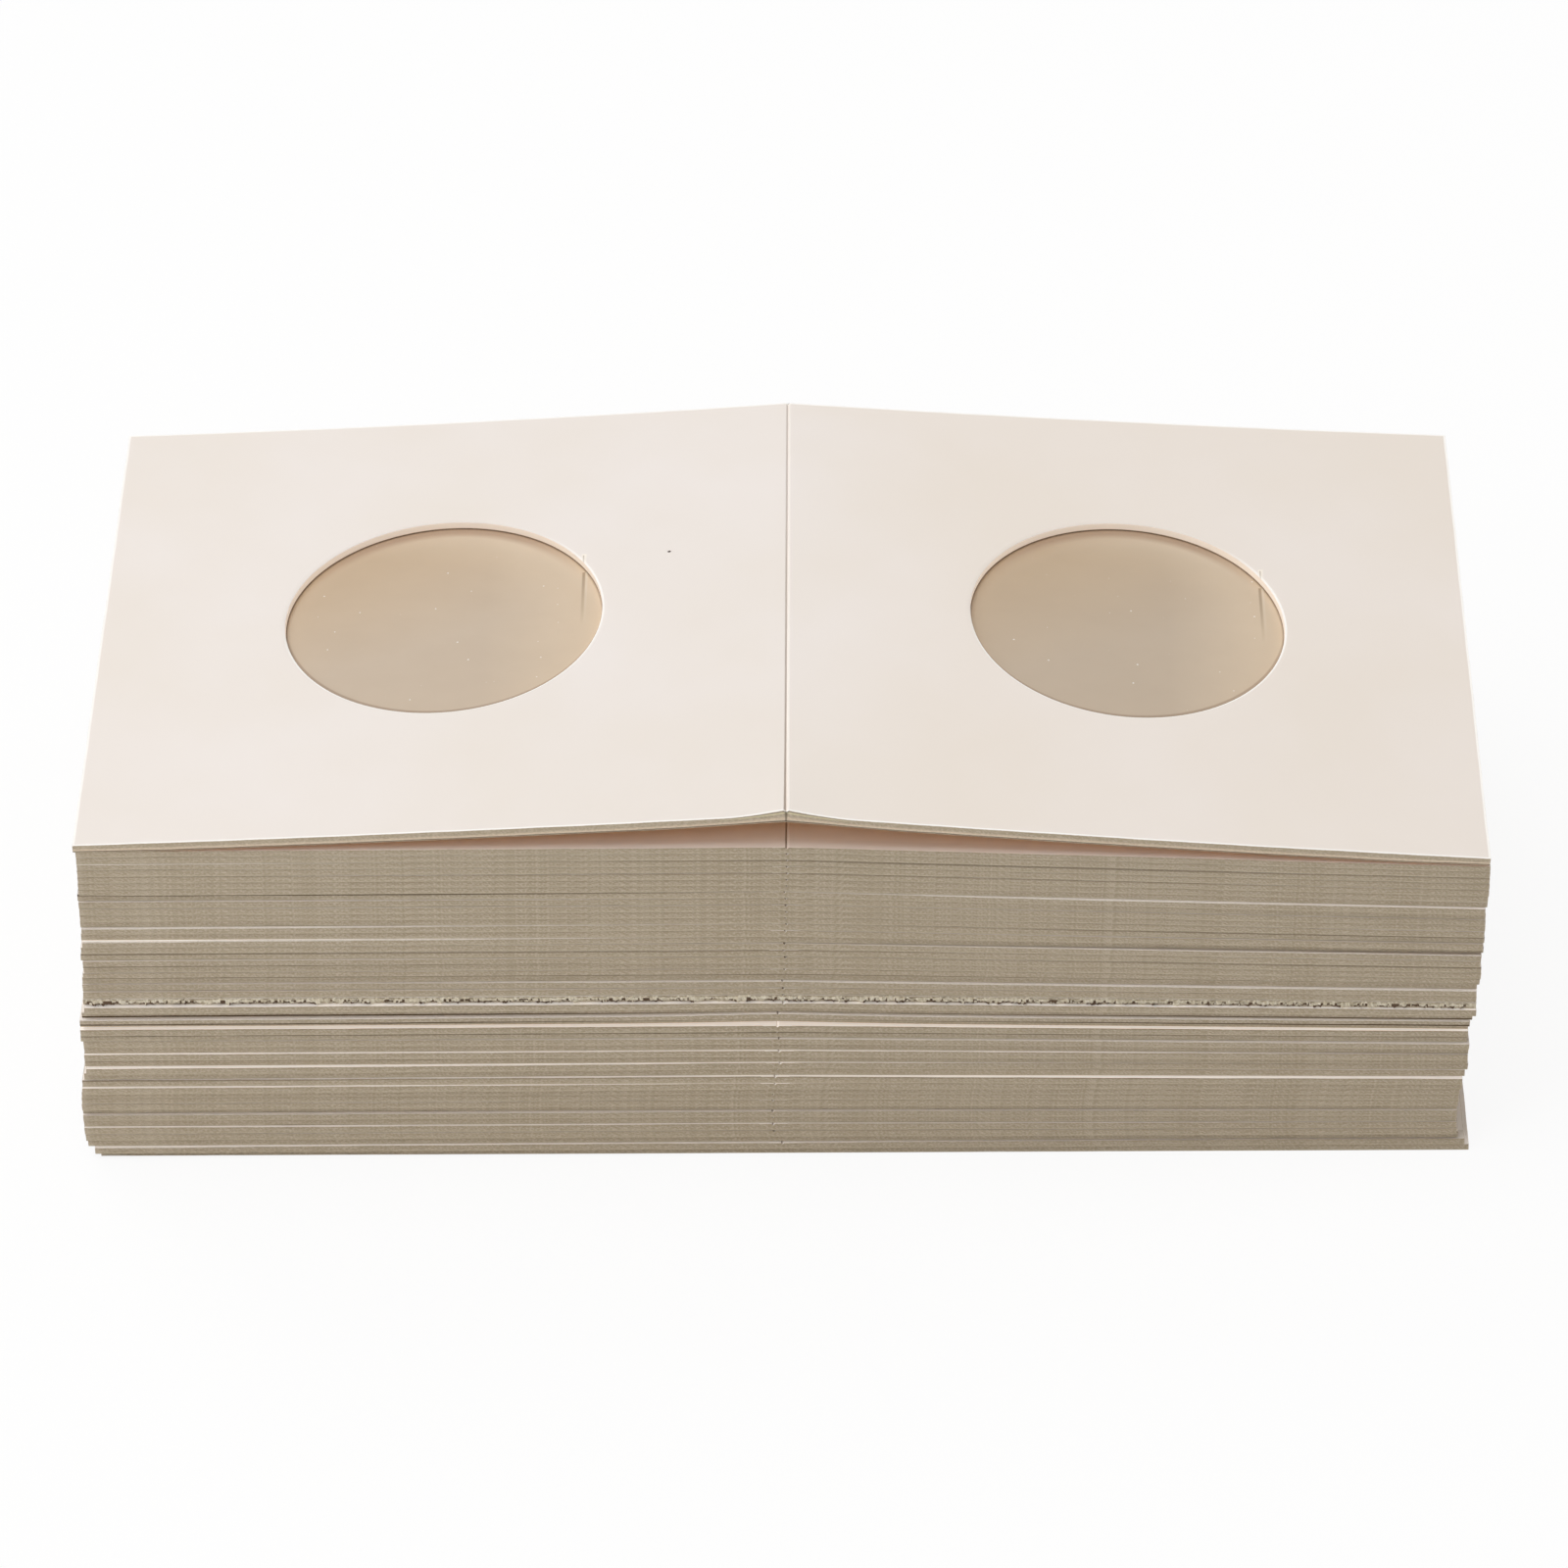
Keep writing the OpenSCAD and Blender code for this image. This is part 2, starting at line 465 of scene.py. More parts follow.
@dataclass(frozen=True)
class PulpEdge:
    """The cut edge of the board: layers of grey-brown pulp between the coats, with stray fibres and dark flecks,
    and painted light and shade at its seams, crease and split, on the lower flips and at the right end.

    In the edge pattern a flip's edge runs up from 0 at its foot to 1 at its head, on top of the flip's number.
    """

    name: str
    pulp: str = "BFB09A"
    light_ply: str = "D6C9B6"
    dark_ply: str = "A9997F"
    foot: str = "D6CBB1"
    head: str = "A3947D"
    coat: str = "EDE4DA"
    fleck: str = "2E2214"
    shadow: str = "4E3C2A"
    roughness: float = 0.9
    gloss: float = 0.15
    relief: float = 0.03 * MM
    plies: float = 5.0
    own_start_mm: float = 7.93
    slant_mm: float = 0.45
    cloud_cover: float = 0.4
    streaks: tuple[float, float] = (0.2, 0.35)
    grains: tuple[float, float] = (0.14, 0.6)
    # painted shade on the lower flips and towards the right end
    low_flips: tuple[float, float] = (46.0, 30.0)
    low_shade: float = 0.14
    right_mm: tuple[float, float] = (-10.0, 20.0)
    right_shade: float = 0.06
    foot_band: tuple[float, float] = (0.12, 0.26)
    foot_cover: float = 0.4
    foot_shadow: float = 0.0
    head_band: tuple[float, float] = (0.62, 0.93)
    head_cover: float = 0.3
    coat_cover: tuple[float, float] = (0.0, 0.7)
    flecks: tuple[tuple[float, float], ...] = ()
    fleck_r_mm: float = 0.13
    fleck_tall_mm: float = 0.78
    stray_cover: float = 0.45
    crease_mm: tuple[float, float] = (0.04, 0.09)
    crease_shadow: float = 0.0
    lifted_ply: str | None = None

    COAT_LINE = (0.93, 0.97)

    def material(self) -> Material:
        """Makes the edge, with its layers along the flat place's first axis.

        Returns:
            The material.
        """
        shader = Shader(self.name)
        level = shader.calculate("FRACT", shader.y)
        own = self._own_place(shader, level)
        fibre = shader.noise(own, (5.0, self.plies * 3, 1), 3.0)
        grain = shader.noise(own, (5.5, 5.0, 1), 3.0)
        colour = self._pulp(shader, own, grain)
        colour = shader.paint(colour, shader.span(level, *self.head_band, 0.0, self.head_cover), self.head)
        foot = shader.times(shader.span(level, *self.foot_band, self.foot_cover, 0.0), fibre)
        colour = shader.paint(colour, shader.times(foot, 1.6), self.foot)
        colour = shader.paint(colour, self._coat_line(shader, level, fibre), self.coat)
        if self.lifted_ply:
            colour = self._split(shader, level, colour)
        colour = self._seams(shader, level, colour)
        # Painted shade along the crease.
        crease = shader.span(shader.off(shader.x), *self.crease_mm, self.crease_shadow, 0.0)
        colour = shader.paint(colour, crease, self.shadow)
        colour = shader.paint(colour, self._stray_flecks(shader), self.fleck)
        for place in self.flecks:
            colour = shader.paint(colour, self._fleck(shader, grain, place), self.fleck)
        shader.bump(shader.plus(shader.times(grain, 0.8), fibre), self.relief, 0.8)
        return shader.finish(colour, self.roughness, self.gloss)

    def _own_place(self, shader: Shader, level: Any) -> Socket:
        """Gives each flip its own stretch of the noise, with a slant that breaks up its lattice.

        Args:
            shader: The edge's material.
            level: How far up through its flip a place is.

        Returns:
            The place to read the noise at.
        """
        start = shader.times(shader.calculate("FLOOR", shader.y), self.own_start_mm)
        run = shader.plus(shader.plus(shader.x, start), shader.times(level, self.slant_mm))
        return shader.add("CombineXYZ", {0: run, 1: shader.y})

    def _pulp(self, shader: Shader, own: Any, grain: Any) -> Socket:
        """Mixes the pulp's tones: clouds, painted shade on the low flips and the right end, and then streaks and
        grains.

        Args:
            shader: The edge's material.
            own: The place in the flip's own stretch of noise.
            grain: The noise of the grains.

        Returns:
            The pulp's colour.
        """
        cloud = shader.noise(shader.flat, (0.02, 0.9, 1), 1.0)
        streak = shader.noise(own, (0.35, self.plies * 1.6, 1), 5.0)
        colour = shader.paint(shade(self.pulp), shader.span(cloud, 0.3, 0.7, 0.0, self.cloud_cover), self.dark_ply)
        # Painted shade: the lower flips and the right end are darker, as less light reaches them.
        colour = shader.paint(colour, shader.span(shader.y, *self.low_flips, 0.0, self.low_shade), self.dark_ply)
        colour = shader.paint(colour, shader.span(shader.x, *self.right_mm, 0.0, self.right_shade), self.shadow)
        for pattern, (spread, cover) in ((streak, self.streaks), (grain, self.grains)):
            colour = shader.paint(colour, shader.span(pattern, 0.5, 0.5 + spread, 0.0, cover), self.light_ply)
            colour = shader.paint(colour, shader.span(pattern, 0.5 - spread, 0.5, cover, 0.0), self.dark_ply)
        return colour

    def _coat_line(self, shader: Shader, level: Any, fibre: Any) -> Socket:
        """Finds the outer coat's cut line, strong on some flips and broken where the blade dragged pulp over it,
        and the painted light line at the head where the mesh has its light marks.

        Args:
            shader: The edge's material.
            level: How far up through its flip a place is.
            fibre: The noise of the fibres.

        Returns:
            The line's cover.
        """
        strength = shader.span(shader.noise(shader.flat, (0.03, 1.7, 1), 1.0), 0.42, 0.62, *self.coat_cover)
        drag = shader.span(fibre, 0.4, 0.6, 1.0, 0.25)
        line = shader.times(shader.span(level, *self.COAT_LINE), shader.times(drag, strength))
        # Painted light: a light line at the head where the mesh has its light marks.
        light = shader.mark(LIGHT_MARK)
        bare = shader.span(shader.plus(level, shader.times(light, 0.16)), *self.COAT_LINE)
        bare = shader.times(bare, shader.span(light, 0.0, 0.5))
        return shader.calculate("MAXIMUM", line, shader.times(bare, shader.span(drag, 0.2, 1.0, 0.7, 1.0)))

    def _split(self, shader: Shader, level: Any, colour: Any) -> Socket:
        """Draws the split by the crease: a painted shade line over the light ply that lifted off.

        Args:
            shader: The edge's material.
            level: How far up through its flip a place is.
            colour: What it is drawn on.

        Returns:
            The colour with the split.
        """
        near = shader.span(shader.off(shader.x), 3.0, 5.0, 1.0, 0.0)
        for at, half, cover, tone in ((0.86, 0.05, 0.4, self.shadow), (0.76, 0.07, 0.8, self.lifted_ply)):
            line = shader.line(level, at, half, 0.5, cover)
            colour = shader.paint(colour, shader.times(line, near), tone)
        return colour

    def _seams(self, shader: Shader, level: Any, colour: Any) -> Socket:
        """Paints shade on the head and the foot of the edge where the mesh has its marks, as shade falls by a flip
        that overhangs.

        Args:
            shader: The edge's material.
            level: How far up through its flip a place is.
            colour: The edge's colour.

        Returns:
            The colour with the dark seams.
        """
        seam = shader.mark(DARK_MARK)
        reach = shader.plus(shader.span(seam, 0.0, 0.3, 0.0, 0.16), shader.times(seam, 0.12))
        dark = shader.span(shader.plus(level, reach), *self.COAT_LINE)
        colour = shader.paint(colour, shader.times(dark, seam), self.shadow)
        mark = shader.mark(FOOT_MARK)
        foot = shader.span(shader.minus(level, shader.times(mark, 0.1)), 0.06, 0.16, 1.0, 0.0)
        foot = shader.times(foot, shader.calculate("MAXIMUM", mark, self.foot_shadow))
        return shader.paint(colour, foot, self.shadow)

    def _stray_flecks(self, shader: Shader) -> Socket:
        """Strews a few small flecks of bark over the pulp.

        Args:
            shader: The edge's material.

        Returns:
            The flecks' cover.
        """
        near, drawn = shader.strewn(0.4, 0.45, "Red", "3D")
        rare = shader.calculate("GREATER_THAN", drawn, 0.6)
        return shader.times(shader.times(shader.span(near, 0.015, 0.04, 1.0, 0.0), rare), self.stray_cover)

    def _fleck(self, shader: Shader, grain: Any, place: tuple[float, float]) -> Socket:
        """Puts one dark fleck at a place along the edge and up through the flips.

        Args:
            shader: The edge's material.
            grain: The noise that frays the fleck's outline.
            place: How far along the edge it is, and its flip's number and how far up through it.

        Returns:
            The fleck's cover.
        """
        shape = (1.0, self.fleck_tall_mm, 0.0)
        spot = shader.add("VectorMath", {0: shape, 1: shader.flat}, operation="MULTIPLY")
        away = shader.distance(spot, (place[0], place[1] * self.fleck_tall_mm, 0.0))
        ragged = shader.plus(away, shader.span(grain, 0.3, 0.7, -0.03, 0.03))
        return shader.span(ragged, self.fleck_r_mm * 0.6, self.fleck_r_mm, 1.0, 0.0)


@dataclass(frozen=True)
class ClearFilm:
    """The laminated film: clear where it sticks to the board, and hazy, yellowed and dusty in the windows.

    Near the rim at the back and the right, the stretched film mirrors the window's wall as a painted reflection,
    with painted lighter light past it; its brownish back and cream right side are painted shade and painted
    reflection too.
    """

    name: str
    haze: str = "E4D1BA"
    # painted shade at the back, the painted reflection at the right, and which way the painted reflection's band
    # faces
    back_shade_brown: str = "E4CAA8"
    reflected_cream: str = "F7E2C6"
    toward: tuple[float, float] = (0.6, 0.8)
    right_leaf_colour: str = "8F8064"
    right_leaf_shade: float = 0.13
    rim_shade: str = "CDB198"
    # colour of the painted shadow of the front wall, and of the fine painted shade line round the rim
    rim_line: str = "907256"
    rim_line_mm: float = 0.1
    rim_soft_mm: float = 0.06
    front_shade: float = 0.5
    shadow_mm: float = 1.0
    cover: float = 0.55
    stuck_cover: float = 0.12
    # painted reflection of the nick: where it runs, and its dark line and glint
    nick_reflection_mm: tuple[float, float, float] = (10.2, -1.2, 5.4)
    reflection_dark_mm: float = 0.15
    reflection_glint_mm: float = 0.12
    reflection_dark_colour: str = "A08868"
    reflection_glint_colour: str = "FFF4E0"
    roughness: float = 0.16
    gloss: float = 0.6
    index: float = 1.5
    dust: str = "FFFFFF"
    dust_r_mm: float = 0.07
    dust_cell_mm: float = 2.2
    dust_cover: float = 0.7
    dust_from: float = 0.55

    def material(self) -> Material:
        """Makes the film, whose cover is that of one of its two faces.

        Returns:
            The material.
        """
        shader = Shader(self.name)
        smear = shader.noise(shader.flat, (0.12, 0.2, 1), 3.0)
        dust = self._dust(shader)
        colour = self._nick_reflection(shader, self._rim(shader, self._haze(shader)))
        side = shader.span(shader.x, -1.0, 1.0, 0.0, self.right_leaf_shade)
        side = shader.times(side, shader.span(shader.right, 3.0, 11.0, 1.0, 0.3))
        colour = shader.paint(colour, side, self.right_leaf_colour)
        colour = shader.paint(colour, dust, self.dust)
        free = shader.span(smear, 0.3, 0.7, self.cover * 0.97, self.cover * 1.03)
        edge = shader.span(shader.away, WINDOW_R_MM, WINDOW_R_MM + self.rim_line_mm)
        cover = shader.add("Mix", {0: edge, 2: free, 3: self.stuck_cover})
        shader.feed(shader.surface.inputs["Alpha"], shader.calculate("MAXIMUM", cover, dust))
        shader.surface.inputs["IOR"].default_value = self.index
        roughness = shader.span(smear, 0.3, 0.7, self.roughness * 0.8, self.roughness * 1.3)
        return shader.finish(colour, roughness, self.gloss)

    def _haze(self, shader: Shader) -> Socket:
        """Mixes the haze's own grey with painted shade, brownish at the back, and a painted reflection, cream at
        the right and in a band inside the rim.

        Args:
            shader: The film's material.

        Returns:
            The haze's colour.
        """
        back_shading = shader.minus(shader.back, shader.times(shader.right, 0.5))
        # Painted shade towards the back, and a painted reflection towards the right.
        colour = shader.paint(shade(self.haze), shader.span(back_shading, -2.0, WINDOW_R_MM), self.back_shade_brown)
        colour = shader.paint(colour, shader.span(shader.right, 3.0, WINDOW_R_MM), self.reflected_cream)
        # Painted reflection: a lighter band inside the rim, towards the back and the right.
        toward = shader.plus(shader.times(shader.right, self.toward[0]), shader.times(shader.back, self.toward[1]))
        toward = shader.span(shader.calculate("DIVIDE", toward, WINDOW_R_MM), 0.3, 0.9)
        ring = shader.span(shader.away, WINDOW_R_MM * 0.55, WINDOW_R_MM - 0.8)
        return shader.paint(colour, shader.times(ring, toward), self.reflected_cream)

    def _rim(self, shader: Shader, colour: Any) -> Socket:
        """Darkens the haze by the rim: a painted reflection of the wall at the back, a painted shadow of the front
        wall, and a fine painted shade line all round.

        Args:
            shader: The film's material.
            colour: The haze's colour.

        Returns:
            The colour with the rim's tones.
        """
        behind = shader.span(shader.back, WINDOW_R_MM * 0.45, WINDOW_R_MM * 0.85)
        # Painted reflection of the wall at the back.
        mirrored = shader.times(shader.span(shader.away, WINDOW_R_MM - 1.1, WINDOW_R_MM - 0.5), behind)
        colour = shader.paint(colour, shader.times(mirrored, 0.8), self.rim_shade)
        lit = shader.add("CombineXYZ", {0: shader.right, 1: shader.minus(shader.back, self.shadow_mm)})
        inner, outer = WINDOW_R_MM - self.rim_soft_mm, WINDOW_R_MM + self.rim_soft_mm
        shadow = shader.times(shader.span(shader.distance(lit), inner, outer), shader.span(shader.back, 1.0, -3.0))
        colour = shader.paint(colour, shader.times(shadow, self.front_shade), self.rim_line)
        # A fine painted shade line all round the rim.
        line = shader.span(shader.away, inner - self.rim_line_mm, inner, 0.0, 0.4)
        return shader.paint(colour, line, self.rim_line)

    def _nick_reflection(self, shader: Shader, colour: Any) -> Socket:
        """Draws the painted reflection of the nick in the windows' rim: a dark line with a glint beside it, running
        to the front.

        Args:
            shader: The film's material.
            colour: What it is drawn on.

        Returns:
            The colour with the painted reflection.
        """
        at, low, high = self.nick_reflection_mm
        cut = shader.stroke(at, self.reflection_dark_mm, (low, high))
        glint = shader.stroke(at + 0.22, self.reflection_glint_mm, (low, high))
        colour = shader.paint(colour, shader.times(cut, 0.7), self.reflection_dark_colour)
        return shader.paint(colour, shader.times(glint, 0.5), self.reflection_glint_colour)

    def _dust(self, shader: Shader) -> Socket:
        """Strews small grains of dust, in some of the cells of a loose net.

        Args:
            shader: The film's material.

        Returns:
            The dust's cover.
        """
        near, drawn = shader.strewn(1 / self.dust_cell_mm, 1 / self.dust_cell_mm, "Green", "2D")
        size = shader.span(drawn, self.dust_from, 1.0, 0.0, self.dust_r_mm / self.dust_cell_mm)
        return shader.times(shader.calculate("LESS_THAN", near, size), self.dust_cover)


@dataclass(frozen=True)
class FloorPaper:
    """The pale ground that the pack stands on, which keeps its shadow."""

    name: str
    colour: str = "F7F6F4"
    grain_colour: str = "FBFAF9"
    grain_per_m: float = 60.0
    roughness: float = 0.9
    gloss: float = 0.5
    glow_share: float = 0.9

    def material(self) -> Material:
        """Makes the ground, part of which the camera sees as white.

        Returns:
            The material.
        """
        shader = Shader(self.name)
        grain = shader.noise(shader.add("TexCoord", {}, "Object"), (self.grain_per_m,) * 3, 2.0)
        seen = shader.add("LightPath", {}, "Is Camera Ray")
        for ray in ("Is Glossy Ray", "Is Transmission Ray"):
            seen = shader.calculate("MAXIMUM", seen, shader.add("LightPath", {}, ray))
        glow = shader.add("Emission", {"Color": (1, 1, 1, 1), "Strength": 1.0})
        share = shader.times(seen, self.glow_share)
        blend = shader.add("MixShader", {0: share, 1: shader.surface.outputs[0], 2: glow})
        shader.feed(shader.tree.nodes["Material Output"].inputs["Surface"], blend)
        colour = shader.paint(shade(self.colour), grain, self.grain_colour)
        return shader.finish(colour, self.roughness, self.gloss)


# Where the frame has the flips


@dataclass(frozen=True)
class Leaf:
    """One leaf of a flip's board, as the frame has it."""

    end: Vector
    along: Vector
    across: Vector
    up: Vector
    width: float
    thickness: float

    END_BAND = 2 * MM

    @classmethod
    def read(cls, node: str, side: Side) -> "Leaf":
        """Finds a leaf by the four corners of its outer end.

        Args:
            node: The CAD node of the board that has the leaf.
            side: Which leaf of the board it is.

        Returns:
            The leaf, whose end is midway along the lower edge of the outer end.
        """
        points = np.array([v.co for v in frame["nodes"][node].data.vertices])
        reach = points[:, 0] * side.value
        corners = points[reach > reach.max() - cls.END_BAND]
        front = corners[corners[:, 1] < 0]
        back = corners[corners[:, 1] > 0]
        low = Vector(front[front[:, 2].argmin()])
        high = Vector(front[front[:, 2].argmax()])
        far = Vector(back[back[:, 2].argmin()])
        across = (far - low).normalized()
        up = (high - low).normalized()
        along = across.cross(up) * side.value
        return cls((low + far) / 2, along, across, up, (far - low).length, (high - low).length)


@dataclass(frozen=True)
class OpenFlip:
    """Where an open flip lies: its two leaves and the crease between them."""

    left: Leaf
    right: Leaf

    @classmethod
    def in_pack(cls, number: int) -> "OpenFlip":
        """Reads a flip of the pack, numbered from the bottom one up."""
        node = f"flip_{number:02d}_card"
        return cls(Leaf.read(node, Side.LEFT), Leaf.read(node, Side.RIGHT))

    @property
    def fold(self) -> float:
        """The angle by which the right leaf is turned down from the left one's plane."""
        return self.left.up.angle(self.right.up)

    @property
    def length(self) -> float:
        """The length of a leaf."""
        return (self.right.end - self.left.end).length / (2 * math.cos(self.fold / 2))

    @property
    def crease(self) -> Vector:
        """The middle of the crease, on the board's film side."""
        return self.left.end - self.left.along * self.length

    def place(self, flat: np.ndarray) -> np.ndarray:
        """Lays flat points on the leaves.

        Args:
            flat: Points of the flat flip, one in each row.

        Returns:
            The points in the frame.
        """
        mitre = (self.left.up + self.right.up) / 2 / math.cos(self.fold / 2) ** 2
        right = flat[:, :1] > TINY
        creased = np.abs(flat[:, :1]) <= TINY
        along = np.where(right, self.right.along, self.left.along)
        up = np.where(creased, mitre, np.where(right, self.right.up, self.left.up))
        across = np.array(self.left.across)
        reach = np.abs(flat[:, :1])
        return np.array(self.crease) + reach * along + flat[:, 1:2] * across + flat[:, 2:] * up


# Flat pieces


def coordinates(mesh: Mesh) -> np.ndarray:
    """Reads a mesh's points, one in each row.

    Args:
        mesh: The mesh.

    Returns:
        The points.
    """
    values = np.empty(len(mesh.vertices) * 3)
    mesh.vertices.foreach_get("co", values)
    return values.reshape(-1, 3)


def set_coordinates(mesh: Mesh, points: np.ndarray) -> None:
    """Writes a mesh's points, one in each row."""
    mesh.vertices.foreach_set("co", points.ravel())
    mesh.update()


def finish_mesh(bm: BMesh, name: str, sharp_deg: float = 15.0) -> Mesh:
    """Turns a shape's faces outward and makes it a mesh.

    Args:
        bm: The shape, which is freed.
        name: The mesh's name.
        sharp_deg: The angle from which an edge is shaded sharp.

    Returns:
        The mesh.
    """
    bmesh.ops.recalc_face_normals(bm, faces=bm.faces)
    mesh = bpy.data.meshes.new(name)
    bm.to_mesh(mesh)
    bm.free()
    mesh.shade_smooth()
    mesh.set_sharp_from_angle(angle=math.radians(sharp_deg))
    return mesh


def new_piece(name: str, mesh: Mesh, *finishes: Material) -> Object:
    """Makes a piece of the object from a mesh and its materials.

    Args:
        name: The piece's name.
        mesh: Its mesh.
        *finishes: Its materials, in the order of its slots.

    Returns:
        The piece.
    """
    piece = bpy.data.objects.new(name, mesh)
    mesh.name = name
    for finish in finishes:
        mesh.materials.append(finish)
    bpy.context.scene.collection.objects.link(piece)
    return piece


def cut_column(bm: BMesh, x: float) -> None:
    """Cuts a flat sheet's faces along a line that runs beside the crease."""
    everything = bm.verts[:] + bm.edges[:] + bm.faces[:]
    bmesh.ops.bisect_plane(bm, geom=everything, dist=TINY, plane_co=(x, 0, 0), plane_no=(1, 0, 0))


def number_edges(mesh: Mesh, number: int) -> None:
    """Moves a board's edges up the edge pattern by its number, so that no two edges look alike.

    Args:
        mesh: The board.
        number: Its number.
    """
    layer = mesh.uv_layers[UV_NAME].uv
    values = np.empty(len(layer) * 2, np.float32)
    layer.foreach_get("vector", values)
    slots = np.empty(len(mesh.polygons), np.int32)
    mesh.polygons.foreach_get("material_index", slots)
    sizes = np.empty(len(mesh.polygons), np.int32)
    mesh.polygons.foreach_get("loop_total", sizes)
    on_edge = np.repeat(slots == EDGE_SLOT, sizes)
    values[1::2][on_edge] += number
    layer.foreach_set("vector", values)


@dataclass(frozen=True)
class SheetCut:
    """A sheet as it is cut, lying flat: the sizes that a board and its film share."""

    length: float
    width: float
    thickness: float

    STEEP = 0.6
    ROUNDED = 0.98
    CREASE_SHARE = 1 / 50
    WALL_FOOT_SHARE = 1 / 8
    WINDOW_SLACK = 1.01
    INSET_SHARE = 0.001

    def dress_flat(
        self, bm: BMesh, windows_r: float = 0.0, punched_back: float = 0.0, bare_lips: bool = False
    ) -> None:
        """Sets each face's material, and its flat place for the patterns.

        Args:
            bm: The flat sheet with its thickness.
            windows_r: Radius of the windows, whose walls are edges too.
            punched_back: How far behind the leaf's middle the windows are.
            bare_lips: Whether the rounded lips are bare pulp too.
        """
        uv = bm.loops.layers.uv.new(UV_NAME)
        bm.normal_update()
        for face in bm.faces:
            middle = face.calc_center_median()
            by_crease = abs(middle.x) < self.length * self.CREASE_SHARE
            edge = abs(face.normal.z) < (self.ROUNDED if bare_lips and not by_crease else self.STEEP)
            hub = Vector((math.copysign(self.length / 2, middle.x), punched_back))
            in_window = windows_r and (middle.xy - hub).length < windows_r * self.WINDOW_SLACK
            if edge:
                wall = in_window and middle.z > self.thickness * self.WALL_FOOT_SHARE
                face.material_index = WALL_SLOT if wall else EDGE_SLOT
            else:
                face.material_index = FACE_SLOT if face.normal.z > 0 else BACK_SLOT
            for loop in face.loops:
                place = loop.vert.co
                if not edge:
                    loop[uv].uv = place.xy / MM
                    continue
                if in_window:
                    run = (place.xy - hub).angle_signed(Vector((0, -1)), 0.0) * windows_r
                elif abs(face.normal.y) > abs(face.normal.x):
                    run = place.x
                else:
                    run = place.y
                up = min(max(place.z / self.thickness, self.INSET_SHARE), 1 - self.INSET_SHARE)
                loop[uv].uv = (run / MM, up)


